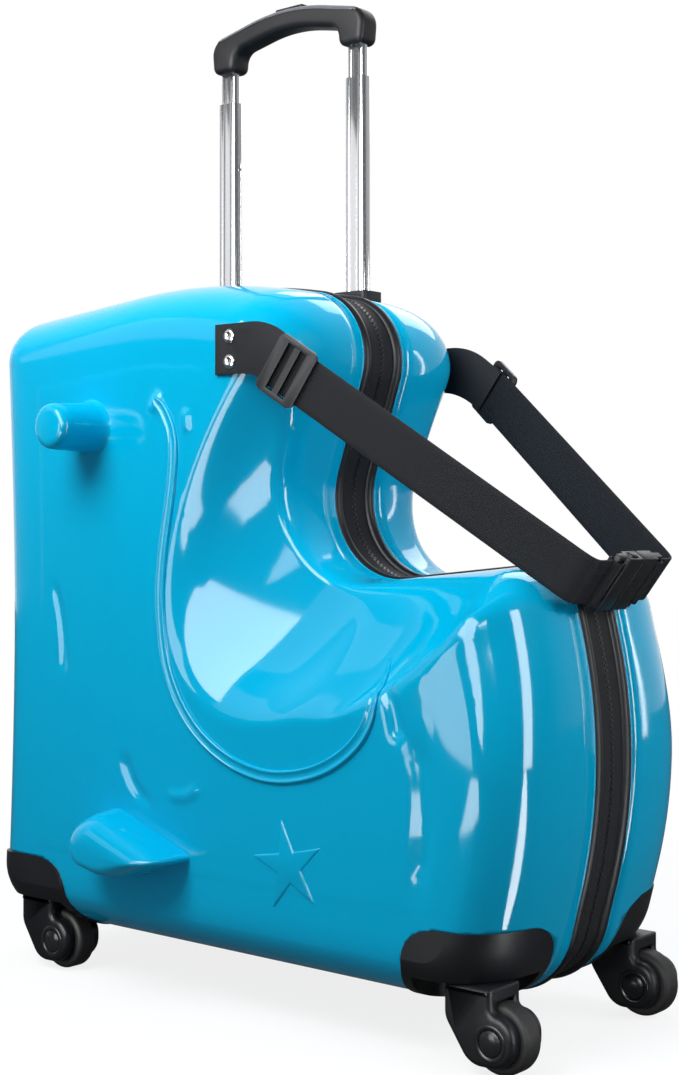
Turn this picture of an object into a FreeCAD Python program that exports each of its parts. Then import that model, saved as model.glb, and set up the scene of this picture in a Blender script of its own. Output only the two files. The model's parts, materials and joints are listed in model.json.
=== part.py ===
import FreeCAD, Part
import math
import os
import re

from FreeCAD import Placement, Rotation, Vector

doc = FreeCAD.newDocument("RideOnSuitcase")

# Driving sizes, in millimetres and degrees. "along" is measured from the tall end of the case,
# "height" from its underside, both on the parting plane between the two shells.
SIZES = (
    ("case_left", -287.6, "X of the tall end"),
    ("floor_gap", 36.0, "underside above the floor"),
    ("column_height", 514.0, "tall end"),
    ("arch_along", 222.0, "crest of the column"),
    ("arch_height", 535.0, "crest of the column"),
    ("brow_along", 359.0, "top corner over the seat"),
    ("brow_height", 512.0, "top corner over the seat"),
    ("lap_along", 284.0, "inner corner of the seat"),
    ("lap_height", 286.0, "inner corner of the seat"),
    ("seat_along", 529.0, "outer corner of the seat"),
    ("seat_height", 311.0, "outer corner of the seat"),
    ("nose_along", 562.5, "bulge of the nose"),
    ("nose_height", 164.0, "bulge of the nose"),
    ("toe_along", 519.0, "lower corner of the nose"),
    ("heel_radius", 50.0, "lower corner of the tall end"),
    ("back_radius", 2000.0, "tall end"),
    ("head_radius", 44.0, "upper corner of the tall end"),
    ("arch_radius", 480.0, "crest of the column"),
    ("brow_radius", 55.0, "top corner over the seat"),
    ("lap_radius", 64.0, "inner corner of the seat"),
    ("seat_radius", 38.0, "outer corner of the seat"),
    ("nose_radius", 380.0, "bulge of the nose"),
    ("toe_radius", 60.0, "lower corner of the nose"),
    ("least_radius", 12.0, "smallest corner of the crowned face"),
    ("back_bow", 3.0, "hollow of the tall end at the parting"),
    ("crown_bow", 12.0, "more hollow of the tall end at the side face"),
    ("side_reach", 125.0, "side face from the parting plane"),
    ("shell_wall", 2.5, "shell wall"),
    ("crown_roll", 70.0, "roll of the shell wall into its side face"),
    ("crown_fullness", 0.975, "share of the roll that the wall covers"),
    ("crown_power", 3.2, "squareness of the roll"),
    ("scoop_along", 420.0, "centre of the leg scoop"),
    ("scoop_height", 389.0, "centre of the leg scoop"),
    ("scoop_depth", 60.0, "leg scoop below the side face"),
    ("scoop_thick", 110.0, "half axis of the scoop across the case"),
    ("scoop_long", 235.0, "half length of the scoop's edge on the side face"),
    ("scoop_short", 125.0, "half width of the scoop's edge on the side face"),
    ("scoop_tilt", 46.0, "slope of the scoop"),
    ("bead_radius", 4.5, "moulded bead round the scoop"),
    ("bead_sunk", 1.5, "bead centre below the side face"),
    ("bead_left", 209.0, "bead behind the scoop"),
    ("bead_right", 439.0, "bead before the scoop"),
    ("bead_low", 150.0, "bead under the scoop"),
    ("bead_top", 426.0, "upper end of the bead"),
    ("bead_end", 240.0, "end of the bead at the haunch"),
    ("bead_hook", 22.0, "hook at the upper end of the bead"),
    ("bead_back_radius", 112.0, "bead corner behind the scoop"),
    ("bead_front_radius", 70.0, "bead corner before the scoop"),
    ("star_along", 352.0, "star relief"),
    ("star_height", 88.0, "star relief"),
    ("star_radius", 37.0, "star relief"),
    ("star_waist", 18.0, "inner corners of the star"),
    ("star_rise", 1.2, "star relief"),
    ("star_turn", 101.0, "first arm of the star"),
    ("star_soft", 3.0, "rounding of the star's corners"),
    ("zip_half", 24.5, "half width of the black band"),
    ("trim_width", 10.0, "rim trim across the band"),
    ("trim_proud", 2.0, "rim trim outside the shell"),
    ("trim_depth", 5.0, "rim trim inside the shell's outline"),
    ("tape_sunk", 0.6, "zip tape below the outline"),
    ("tape_thick", 1.6, "zip tape"),
    ("tooth_half", 2.5, "zip teeth on each side"),
    ("tooth_gap", 0.2, "half gap between the rows of teeth"),
    ("tooth_proud", 1.0, "zip teeth outside the outline"),
    ("hinge_low", 80.0, "lower end of the hinge tape"),
    ("hinge_high", 460.0, "upper end of the hinge tape"),
    ("hinge_deep", 20.0, "reach of the hinge window into the band"),
    ("hinge_gap", 0.4, "hinge tape to the zip tape's ends"),
    ("slider_along", 121.0, "zip slider on the underside"),
    ("slider_long", 12.0, "zip slider"),
    ("slider_wide", 10.0, "zip slider"),
    ("slider_thick", 3.6, "zip slider"),
    ("slider_gap", 0.35, "zip slider to the teeth and tapes"),
    ("lug_long", 6.0, "lug of the zip slider"),
    ("lug_wide", 1.8, "lug of the zip slider"),
    ("lug_drop", 4.4, "lug of the zip slider"),
    ("pull_pin", 1.0, "radius of the pull's pin"),
    ("pull_play", 0.08, "pull's pin in its lug"),
    ("pull_arm", 1.0, "arm of the pull"),
    ("pull_long", 15.0, "zip pull"),
    ("pull_wide", 6.0, "width of the pull along the zip"),
    ("pull_neck", 3.0, "width of the pull's arms along the zip"),
    ("peg_along", 138.0, "hand peg"),
    ("peg_height", 416.0, "hand peg"),
    ("peg_flare", 5.0, "flare of the peg's root"),
    ("peg_radius", 19.5, "hand peg at its root"),
    ("peg_tip", 18.0, "hand peg at its tip"),
    ("peg_long", 46.0, "hand peg"),
    ("peg_round", 4.0, "rounding of the peg's tip"),
    ("foot_along", 139.0, "foot rest, rear end"),
    ("foot_low", 58.0, "foot rest, lower edge"),
    ("foot_long", 122.0, "foot rest"),
    ("foot_tall", 56.0, "foot rest at the shell"),
    ("foot_reach", 38.0, "foot rest out from the shell"),
    ("foot_edge", 1.0, "least rounding of the foot rest"),
    ("swivel_column", 56.0, "swivel axis at the tall end"),
    ("swivel_nose", 59.5, "swivel axis at the nose, back from the nose"),
    ("swivel_out", 94.0, "swivel axis from the parting plane"),
    ("wheel_radius", 24.5, "caster wheel"),
    ("wheel_width", 18.0, "caster wheel"),
    ("hub_radius", 15.5, "wheel hub"),
    ("tyre_round", 4.0, "rounding of the tyre"),
    ("trail", 20.0, "axle behind the swivel axis"),
    ("axle_radius", 3.0, "axle"),
    ("axle_play", 0.05, "hub on its axle"),
    ("axle_head", 9.0, "radius of the axle's head"),
    ("axle_head_thick", 1.2, "axle's head"),
    ("wheel_side_gap", 0.6, "wheel to each cheek"),
    ("wheel_top_gap", 1.5, "tyre to the fork"),
    ("cheek_thick", 5.9, "fork cheek"),
    ("cheek_radius", 17.0, "fork cheek round the axle"),
    ("barrel_radius", 19.5, "fork barrel"),
    ("barrel_height", 15.0, "fork barrel"),
    ("fork_bend", 4.0, "bend of the cheek under the barrel"),
    ("fork_top", 60.0, "top of the fork above the floor"),
    ("fork_gap", 0.6, "fork to its housing"),
    ("pin_radius", 4.0, "swivel pin"),
    ("pin_play", 0.05, "swivel pin in the fork"),
    ("pin_fit", 0.2, "swivel pin in its housing"),
    ("pin_depth", 13.0, "swivel pin in the fork"),
    ("pin_head", 8.0, "radius of the swivel pin's head"),
    ("pin_head_thick", 3.0, "swivel pin's head"),
    ("swing_gap", 4.0, "housing clear of the swinging wheel"),
    ("housing_wall", 7.5, "housing round the swing"),
    ("housing_plate", 4.0, "housing plate over the fork"),
    ("housing_rise", 32.5, "housing side above its plate"),
    ("housing_round", 24.0, "round of the housing's upper edge"),
    ("housing_proud", 1.0, "housing outside the shell"),
    ("tube_along", 126.0, "trolley tube at the tall end"),
    ("tube_spacing", 147.0, "trolley tubes"),
    ("tube_out", 52.0, "trolley tubes from the parting plane"),
    ("inner_long", 17.4, "second stage tube"),
    ("inner_wide", 8.0, "second stage tube"),
    ("outer_long", 21.0, "first stage tube"),
    ("outer_wide", 11.6, "first stage tube"),
    ("tube_wall", 1.3, "trolley tube wall"),
    ("sleeve_wall", 1.6, "sleeve wall"),
    ("tube_play", 0.4, "running play of the tubes"),
    ("tube_round", 3.6, "corners of the tubes"),
    ("outer_top", 749.0, "top of the first stage as drawn out"),
    ("outer_length", 380.0, "first stage"),
    ("inner_length", 340.0, "second stage"),
    ("collar_wall", 4.5, "collar round a sleeve"),
    ("collar_rise", 6.0, "collar above the shell"),
    ("sleeve_rise", 1.0, "sleeve above the shell"),
    ("sleeve_play", 0.2, "sleeve in the shell and its collar"),
    ("bracket_height", 18.0, "foot bracket of the sleeves"),
    ("bracket_margin", 10.0, "foot bracket round the sleeves"),
    ("bracket_floor", 4.0, "foot bracket under the sleeves"),
    ("bracket_gap", 0.5, "foot bracket to the caster housing"),
    ("grip_gap", 26.0, "grip above the first stage"),
    ("grip_height", 42.0, "grip overall"),
    ("grip_arch", 12.0, "rise of the grip"),
    ("grip_thick", 19.0, "grip bar"),
    ("grip_deep", 23.0, "grip across"),
    ("grip_arm", 29.0, "grip arm"),
    ("grip_round", 6.0, "edges of the grip"),
    ("grip_foot", 3.0, "corners at the feet of the grip"),
    ("grip_shoulder", 14.4, "shoulders of the grip"),
    ("grip_bend", 6.0, "bends under the shoulders"),
    ("grip_top", 206.0, "arch of the grip's top"),
    ("grip_under", 147.0, "arch under the grip"),
    ("grip_socket", 14.0, "second stage in the grip"),
    ("grip_fit", 0.1, "second stage in the grip"),
    ("button_long", 32.0, "release button"),
    ("button_wide", 11.0, "release button"),
    ("button_tall", 8.0, "release button"),
    ("button_proud", 2.6, "release button above the grip"),
    ("button_travel", 3.0, "release button"),
    ("button_play", 0.35, "release button in the grip"),
    ("strap_width", 38.0, "webbing"),
    ("strap_thick", 2.0, "webbing"),
    ("tab_along", 280.0, "anchor tab"),
    ("tab_height", 470.0, "middle of the anchor tab"),
    ("strap_clear", 1.4, "strap over the rounded corner of the seat"),
    ("strap_corner", 53.0, "corner of the strap before the buckle"),
    ("strap_bend", 20.0, "bend of the strap before the buckle"),
    ("strap_start", 14.0, "strap beyond the middle of the slide adjuster"),
    ("rivet_along", 295.0, "rivets"),
    ("rivet_spacing", 19.0, "rivets"),
    ("rivet_shank", 2.4, "radius of a rivet's shank"),
    ("rivet_head", 5.5, "radius of a rivet's head"),
    ("rivet_head_thick", 2.0, "rivet's head"),
    ("rivet_tail", 4.2, "radius of a rivet's tail"),
    ("rivet_tail_thick", 1.2, "rivet's tail"),
    ("glide_beyond", 76.0, "slide adjuster from the end of the anchor tab"),
    ("glide_drop", 20.1, "slide adjuster below the middle of the anchor tab"),
    ("glide_long", 34.0, "slide adjuster"),
    ("glide_wide", 47.0, "slide adjuster"),
    ("glide_thick", 3.0, "slide adjuster"),
    ("glide_slot", 6.0, "slots of the slide adjuster"),
    ("glide_bar", 5.0, "middle bar of the slide adjuster"),
    ("glide_seat", 0.3, "slide adjuster on the webbing"),
    ("buckle_reach", 31.5, "buckle beyond the rounded corner of the seat"),
    ("buckle_wide", 46.0, "buckle across the webbing"),
    ("buckle_thick", 10.0, "buckle body"),
    ("buckle_body", 20.0, "buckle body from the parting plane"),
    ("buckle_end", 29.0, "buckle from the parting plane"),
    ("buckle_gap", 0.6, "each half from the parting plane"),
    ("buckle_wall", 2.0, "socket wall"),
    ("buckle_side", 4.0, "socket wall at the tabs"),
    ("buckle_floor", 3.0, "closed end of the socket"),
    ("bar_thick", 5.0, "buckle bar"),
    ("bar_long", 4.0, "buckle bar"),
    ("bar_slot", 4.2, "buckle slot"),
    ("bar_play", 0.3, "webbing round a bar"),
    ("prong_wide", 12.0, "plug's middle prong"),
    ("prong_play", 0.7, "prong and tabs in the socket"),
    ("squeeze_gap", 0.35, "squeeze tab from the plug"),
    ("squeeze_window", 9.0, "window of a squeeze tab"),
    ("squeeze_rim", 4.5, "socket rim before the window"),
    ("squeeze_travel", 2.5, "squeeze tab"),
    ("squeeze_proud", 1.0, "squeeze tab outside the socket"),
)

sheet = doc.addObject("Spreadsheet::Sheet", "Sizes")
for row, (alias, value, note) in enumerate(SIZES, start=1):
    sheet.set("A%d" % row, note)
    sheet.set("B%d" % row, str(value))
    sheet.setAlias("B%d" % row, alias)
doc.recompute()

NODES = {}
SIDE = Rotation(Vector(1, 0, 0), 90)
OUTWARD = Vector(0, -1, 0)
UP = Vector(0, 0, 1)
# Shares of the shell's depth at which its wall is drawn
CROWN_LEVELS = (0.0, 0.4, 0.7, 0.9, 1.0)
# Corners of the case in the order of its outline
CORNER_NAMES = ("heel", "back", "head", "arch", "brow", "lap", "seat", "nose", "toe")
# Most of a side that two roundings may take up
FULLEST = 0.98
# Foot rest: shares of its reach, its length and its height, from the shell outwards
FOOT_LEAVES = ((0.0, 1.0, 1.0), (0.45, 0.86, 0.72), (0.85, 0.68, 0.46), (1.0, 0.56, 0.34))
# Foot rest: corners of one leaf and their roundings, as shares of its length and height
LEAF_CORNERS = ((0.0, 0.32), (0.2, 1.0), (1.0, 0.32), (0.4, 0.0))
LEAF_BENDS = (0.14, 0.26, 0.06, 0.6)
# Foot rest: how far a leaf moves in from the rear and up from below as it shrinks
LEAF_SHIFT = (0.12, 0.1)
STAR_ARMS = 5


def size(alias):
    return float(sheet.get(alias))


def bind(thing, **formulas):
    """Tie properties to formulas of sheet names."""
    for name, text in formulas.items():
        thing.setExpression(name, re.sub(r"\b(?!sqrt)[a-z]\w+", lambda word: "Sizes." + word.group(), text))
    return thing


def at(along, height):
    """X and Z of a point given along the case and above its underside."""
    return size("case_left") + along, size("floor_gap") + height


# Drawing helpers

def corner_runs(points, radii):
    """Length that each rounding takes up on its two sides, limited by the sides themselves."""
    count = len(points)
    spots = [Vector(x, y, 0) for x, y in points]
    halves = []
    for here, spot in enumerate(spots):
        halves.append((spots[here - 1] - spot).getAngle(spots[(here + 1) % count] - spot) / 2)
    runs = [radius / math.tan(half) for radius, half in zip(radii, halves)]
    for here in range(count):
        after = (here + 1) % count
        room = (spots[after] - spots[here]).Length
        taken = runs[here] + runs[after]
        if taken > room:
            runs[here] *= FULLEST * room / taken
            runs[after] *= FULLEST * room / taken
    return spots, halves, runs


def rounded(points, radii, closed=True):
    """Lines and arcs through the points, each corner rounded to its own radius."""
    spots, halves, runs = corner_runs(points, radii)
    count = len(points)
    corners = []
    for here, corner in enumerate(spots):
        if radii[here] == 0:
            corners.append((corner, None, corner))
            continue
        before = spots[here - 1] - corner
        after = spots[(here + 1) % count] - corner
        before.normalize()
        after.normalize()
        middle = before + after
        middle.normalize()
        radius = runs[here] * math.tan(halves[here])
        crest = corner + middle * (radius / math.sin(halves[here]) - radius)
        corners.append((corner + before * runs[here], crest, corner + after * runs[here]))
    geometry = []
    for here, (start, crest, end) in enumerate(corners):
        if crest is not None:
            geometry.append(Part.Arc(start, crest, end))
        if closed or here < count - 1:
            geometry.append(Part.LineSegment(end, corners[(here + 1) % count][0]))
    return geometry


def rectangle(length, width, radius=0.0, middle=(0.0, 0.0)):
    """Rectangle round a middle point, with rounded corners."""
    x, y = middle
    corners = [(x + i * length / 2, y + j * width / 2) for i, j in ((-1, -1), (1, -1), (1, 1), (-1, 1))]
    return rounded(corners, [radius] * 4)


def sketch(name, geometry, place):
    drawing = doc.addObject("Sketcher::SketchObject", name)
    drawing.Placement = place
    drawing.addGeometry(geometry, False)
    return drawing


def side_sketch(name, geometry, out):
    """Sketch parallel to the parting plane, out towards the near side."""
    return sketch(name, geometry, Placement(OUTWARD * out, SIDE))


def flat_sketch(name, geometry, height):
    return sketch(name, geometry, Placement(UP * height, Rotation()))


# Solid helpers

def extrude(name, drawing, direction, length):
    solid = doc.addObject("Part::Extrusion", name)
    solid.Base = drawing
    solid.DirMode = "Custom"
    solid.Dir = direction
    solid.Solid = True
    solid.FaceMakerClass = "Part::FaceMakerBullseye"
    if isinstance(length, str):
        return bind(solid, LengthFwd=length)
    solid.LengthFwd = length
    return solid


def revolve(name, drawing, base, axis):
    solid = doc.addObject("Part::Revolution", name)
    solid.Source = drawing
    solid.Base = base
    solid.Axis = axis
    solid.Angle = 360
    solid.Solid = True
    solid.FaceMakerClass = "Part::FaceMakerBullseye"
    return solid


def loft(name, sections):
    solid = doc.addObject("Part::Loft", name)
    solid.Sections = sections
    solid.Solid = True
    return solid


def block(name, place, **formulas):
    solid = doc.addObject("Part::Box", name)
    solid.Placement = place
    return bind(solid, **formulas)


def cylinder(name, base, axis, **formulas):
    solid = doc.addObject("Part::Cylinder", name)
    solid.Placement = Placement(base, Rotation(UP, axis))
    return bind(solid, **formulas)


def group(name, members):
    gathered = doc.addObject("Part::Compound", name)
    gathered.Links = members
    return gathered


def cut(name, base, *tools):
    result = doc.addObject("Part::Cut", name)
    result.Base = base
    result.Tool = tools[0] if len(tools) == 1 else group(name + "_tools", list(tools))
    return result


def fuse(name, *members):
    result = doc.addObject("Part::MultiFuse", name)
    result.Shapes = list(members)
    return result


def common(name, base, tool):
    result = doc.addObject("Part::Common", name)
    result.Base = base
    result.Tool = tool
    return result


def mirror(name, source):
    """The same piece on the far side of the parting plane."""
    result = doc.addObject("Part::Mirroring", name)
    result.Source = source
    result.Normal = Vector(0, 1, 0)
    return result


def node(solid):
    NODES[solid.Name] = solid
    return solid


def pair(solid):
    """A near piece and its mirror image on the far half."""
    node(solid)
    return node(mirror(solid.Name.replace("near", "far"), solid))


# Case outline and its crowned shells

def case_corners():
    middle = size("column_height") / 2
    return [
        at(0, 0),
        at(size("back_bow"), middle),
        at(0, size("column_height")),
        at(size("arch_along"), size("arch_height")),
        at(size("brow_along"), size("brow_height")),
        at(size("lap_along"), size("lap_height")),
        at(size("seat_along"), size("seat_height")),
        at(size("nose_along"), size("nose_height")),
        at(size("toe_along"), 0),
    ]


def inset_corners(points, inset):
    """Corners of the outline moved in by one distance; the outline runs clockwise."""
    lines = []
    for here, (x, z) in enumerate(points):
        to_x, to_z = points[(here + 1) % len(points)]
        run = math.hypot(to_x - x, to_z - z)
        along = ((to_x - x) / run, (to_z - z) / run)
        lines.append((x + along[1] * inset, z - along[0] * inset, *along))
    moved = []
    for here, (x, z, i, k) in enumerate(lines):
        last_x, last_z, last_i, last_k = lines[here - 1]
        step = ((x - last_x) * k - (z - last_z) * i) / (last_i * k - last_k * i)
        moved.append((last_x + last_i * step, last_z + last_k * step))
    return moved


def case_outline(inset, crown=0.0):
    points = inset_corners(case_corners(), inset)
    back = CORNER_NAMES.index("back")
    x, z = points[back]
    points[back] = (x + size("crown_bow") * crown, z)
    radii = [max(size(name + "_radius") - inset, size("least_radius")) for name in CORNER_NAMES]
    radii[CORNER_NAMES.index("lap")] = size("lap_radius") + inset
    return rounded(points, radii)


def crown_inset(level):
    """Inset of the shell wall at a share of its depth: a superellipse that meets the side face."""
    reach = (size("crown_fullness") * level) ** size("crown_power")
    return size("crown_roll") * (1 - (1 - reach) ** (1 / size("crown_power")))


def crowned(name, inset, start, end):
    """Solid between the parting side and the side face, with the crowned wall."""
    sections = []
    for number, level in enumerate(CROWN_LEVELS):
        outline = case_outline(crown_inset(level) + inset, level)
        sections.append(side_sketch("%s_ring_%d" % (name, number), outline, start + (end - start) * level))
    return loft(name, sections)


def top_of_case(x):
    """Height of the outline's upper side over a place along X."""
    outline = Part.Wire([line.toShape() for line in case_outline(crown_inset(0.0))])
    plumb = Part.makeLine(Vector(x, 0, 0), Vector(x, 2 * (size("floor_gap") + size("arch_height")), 0))
    return max(touch[0].y for touch in outline.distToShape(plumb)[1])


def scoop(name, grown):
    """Leg scoop beside the seat, cut by an ellipsoid outside the side face."""
    x, z = at(size("scoop_along"), size("scoop_height"))
    solid = doc.addObject("Part::Ellipsoid", name)
    out = size("side_reach") + size("scoop_thick") - size("scoop_depth")
    solid.Placement = Placement(Vector(x, -out, z), Rotation(Vector(0, 1, 0), -size("scoop_tilt")))
    swell = " * scoop_thick / sqrt(scoop_thick^2 - (scoop_thick - scoop_depth)^2)"
    return bind(solid, Radius1="scoop_short" + swell + grown, Radius2="scoop_long" + swell + grown,
                Radius3="scoop_thick" + grown)


def saddle_bead():
    """Moulded bead that runs round the scoop on the side face."""
    left = size("bead_left")
    hook = size("bead_hook")
    top = size("bead_top")
    path = [
        at(left - hook, top + hook),
        at(left + hook / 2, top),
        at(left, size("bead_low")),
        at(size("bead_right"), size("bead_low")),
        at(size("bead_right"), size("bead_end")),
    ]
    bends = [0, hook, size("bead_back_radius"), size("bead_front_radius"), 0]
    out = size("side_reach") - size("bead_sunk")
    spine = side_sketch("bead_spine", rounded(path, bends, closed=False), out)
    start = Vector(path[0][0], -out, path[0][1])
    heading = Vector(path[1][0], -out, path[1][1]) - start
    ring = [Part.Circle(Vector(0, 0, 0), UP, size("bead_radius"))]
    profile = sketch("bead_profile", ring, Placement(start, Rotation(UP, heading)))
    sweep = doc.addObject("Part::Sweep", "bead")
    sweep.Sections = [profile]
    sweep.Spine = (spine, ["Edge%d" % (edge + 1) for edge in range(len(spine.Geometry))])
    sweep.Solid = True
    sweep.Frenet = False
    return sweep


def star_relief():
    x, z = at(size("star_along"), size("star_height"))
    points = []
    for step in range(2 * STAR_ARMS):
        turn = math.radians(size("star_turn") - 180 * step / STAR_ARMS)
        reach = size("star_waist") if step % 2 else size("star_radius")
        points.append((x + reach * math.cos(turn), z + reach * math.sin(turn)))
    outline = rounded(points, [size("star_soft")] * len(points))
    drawing = side_sketch("star_outline", outline, size("side_reach"))
    return extrude("star", drawing, OUTWARD, "star_rise")


def rivet_places():
    x, z = at(size("rivet_along"), size("tab_height"))
    half = size("rivet_spacing") / 2
    return [(x, z - half), (x, z + half)]


def swivel_place(end):
    """Foot of a swivel axis on the near side: one counts from the tall end, the other from the nose."""
    along = size("swivel_column") if end == "column" else size("nose_along") - size("swivel_nose")
    return Vector(at(along, 0)[0], -size("swivel_out"), 0)


def corner_tool(end):
    """Room for a caster housing in the near shell's lower corner: a drum with a rounded top."""
    base = swivel_place(end)
    reach = size("trail") + size("wheel_radius") + size("swing_gap") + size("housing_wall")
    top = size("fork_top") + size("fork_gap") + size("housing_plate") + size("housing_rise")
    profile = [(base.x, 0), (base.x + reach, 0), (base.x + reach, top), (base.x, top)]
    drawing = side_sketch("corner_profile_" + end, rounded(profile, [0, 0, size("housing_round"), 0]), -base.y)
    return revolve("corner_" + end, drawing, base, UP)


def hand_peg():
    """Moulded peg with a flared root, and its hollow."""
    x, z = at(size("peg_along"), size("peg_height"))
    face = -size("side_reach")
    flare = size("peg_flare")
    profile = [
        (x, face),
        (x + size("peg_radius") + flare, face),
        (x + size("peg_radius"), face - flare),
        (x + size("peg_tip"), face - size("peg_long")),
        (x, face - size("peg_long")),
    ]
    drawing = flat_sketch("peg_profile", rounded(profile, [0, 0, flare, size("peg_round"), 0]), z)
    solid = revolve("peg", drawing, Vector(x, 0, z), Vector(0, 1, 0))
    room = cylinder("peg_room", Vector(x, face + 2 * size("shell_wall"), z), OUTWARD,
                    Radius="peg_tip - shell_wall", Height="peg_long + shell_wall")
    return solid, room


def foot_rest(name, wall):
    """Moulded fin-shaped ledge: a leaf on the shell that shrinks and sinks as it comes out."""
    sections = []
    root = size("side_reach") - 2 * wall
    depth = size("foot_reach") + wall
    for number, (out, length, height) in enumerate(FOOT_LEAVES):
        long = size("foot_long") * length
        tall = size("foot_tall") * height
        rear = size("foot_along") + LEAF_SHIFT[0] * (size("foot_long") - long)
        low = size("foot_low") + LEAF_SHIFT[1] * (size("foot_tall") - tall)
        points = [at(rear + along * long, low + rise * tall) for along, rise in LEAF_CORNERS]
        bends = [max(share * tall - wall, size("foot_edge")) for share in LEAF_BENDS]
        outline = rounded(inset_corners(points, wall), bends)
        sections.append(side_sketch("%s_leaf_%d" % (name, number), outline, root + depth * out))
    return loft(name, sections)


start = size("zip_half")
reach = size("side_reach")
outer = crowned("outer_form", 0, start, reach)
cavity = crowned("cavity_form", size("shell_wall"), start - size("shell_wall"), reach - size("shell_wall"))
hollow = cut("hollow_form", cavity, scoop("scoop_inside", " + shell_wall"))
peg, peg_room = hand_peg()
scooped = cut("scooped_form", outer, scoop("scoop_outside", ""))
moulded = fuse("moulded_form", scooped, saddle_bead(), star_relief(), peg, foot_rest("foot", 0))
foot_room = foot_rest("foot_room", size("shell_wall"))
corners = {end: corner_tool(end) for end in ("column", "nose")}
rivet_holes = [
    cylinder("rivet_hole_%d" % number, Vector(x, -size("side_reach") - 1, z), -OUTWARD,
             Radius="rivet_shank", Height="side_reach - zip_half")
    for number, (x, z) in enumerate(rivet_places())
]
tail_rooms = [
    cylinder("rivet_room_%d" % number, Vector(x, size("shell_wall") - size("side_reach"), z), -OUTWARD,
             Radius="rivet_tail", Height="rivet_tail_thick")
    for number, (x, z) in enumerate(rivet_places())
]
inside = fuse("inside_form", hollow, peg_room, foot_room, *tail_rooms)
near_shell = node(cut("near_shell", moulded, inside, *corners.values(), *rivet_holes))


# Black band between the shells: rim trims, zip tapes, zip teeth and the hinge tape

def band(name, outside, inside, near_edge, width):
    """Closed ring along the outline, from an edge out towards the near side."""
    drawing = side_sketch(name + "_outline", case_outline(-outside) + case_outline(inside), near_edge)
    return extrude(name, drawing, OUTWARD, width)


trim_start = size("zip_half") - size("trim_width")
tape_inside = size("tape_sunk") + size("tape_thick")
pair(band("near_trim", size("trim_proud"), size("trim_depth"), trim_start, "trim_width"))

hinge_x, hinge_z = at(-size("trim_proud"), size("hinge_low"))


def hinge_window(name, gap):
    """Stretch of the band at the tall end that the hinge tape takes up."""
    corner = Vector(hinge_x, -size("zip_half"), hinge_z - gap)
    return block(name, Placement(corner, Rotation()), Length="trim_proud + hinge_deep", Width="2 * zip_half",
                 Height="hinge_high - hinge_low + %s" % ("2 * hinge_gap" if gap else "0"))


hinge_strip = band("hinge_strip", -size("tape_sunk"), tape_inside, -trim_start, "2 * (zip_half - trim_width)")
node(common("hinge_tape", hinge_strip, hinge_window("hinge_room", 0)))
window = hinge_window("hinge_cut", size("hinge_gap"))
tape = band("tape_ring", -size("tape_sunk"), tape_inside, size("tooth_half"),
            "zip_half - trim_width - tooth_half")
pair(cut("near_zip_tape", tape, window))
teeth = band("tooth_ring", size("tooth_proud"), tape_inside, size("tooth_gap"), "tooth_half - tooth_gap")
pair(cut("near_zip_teeth", teeth, window))


# Zip slider on the underside, with its pull

def zip_slider():
    x = at(size("slider_along"), 0)[0]
    top = size("floor_gap") - size("tooth_proud") - size("slider_gap")
    low = top - size("slider_thick")
    half = size("slider_long") / 2
    wide = size("slider_wide") / 2
    body = block("slider_body", Placement(Vector(x - half, -wide, low), Rotation()), Length="slider_long",
                 Width="slider_wide", Height="slider_thick + tooth_proud")
    groove_corner = Vector(x - half, -size("tooth_half") - size("slider_gap"), top)
    groove = block("slider_groove", Placement(groove_corner, Rotation()), Length="slider_long",
                   Width="2 * (tooth_half + slider_gap)", Height="slider_thick")
    lug_corner = Vector(x - size("lug_long") / 2, -size("lug_wide") / 2, low - size("lug_drop"))
    lug = block("slider_lug", Placement(lug_corner, Rotation()), Length="lug_long", Width="lug_wide",
                Height="lug_drop")
    pivot = Vector(x, 0, low - size("lug_drop") / 2)
    eye = cylinder("slider_eye", pivot + OUTWARD * size("lug_wide"), -OUTWARD,
                   Radius="pull_pin + pull_play", Height="2 * lug_wide")
    node(cut("zip_slider", fuse("slider_solid", body, lug), groove, eye))
    gap = size("slider_gap")
    arm = size("pull_arm")
    outer_half = size("lug_wide") / 2 + gap + arm
    pin = cylinder("pull_pin_solid", pivot + OUTWARD * outer_half, -OUTWARD,
                   Radius="pull_pin", Height="lug_wide + 2 * (slider_gap + pull_arm)")
    # The plate stays outside the circle that the corners of the lug draw as the pull swings
    plate_top = pivot.z - math.hypot(size("lug_long"), size("lug_drop")) / 2 - gap
    left = x - size("pull_wide") / 2
    plate = block("pull_plate", Placement(Vector(left, -outer_half, pivot.z - size("pull_long")), Rotation()),
                  Length="pull_wide", Width="lug_wide + 2 * (slider_gap + pull_arm)",
                  Height="pull_long - sqrt(lug_long^2 + lug_drop^2) / 2 - slider_gap")
    arms = []
    for number, y in enumerate((-outer_half, outer_half - arm)):
        corner = Placement(Vector(x - size("pull_neck") / 2, y, plate_top), Rotation())
        arms.append(block("pull_arm_%d" % number, corner, Length="pull_neck", Width="pull_arm",
                          Height="sqrt(lug_long^2 + lug_drop^2) / 2 + slider_gap + pull_pin"))
    node(fuse("zip_pull", pin, plate, *arms))


zip_slider()


# Casters: a housing let into each lower corner, and a swivelling fork with its wheel

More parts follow.
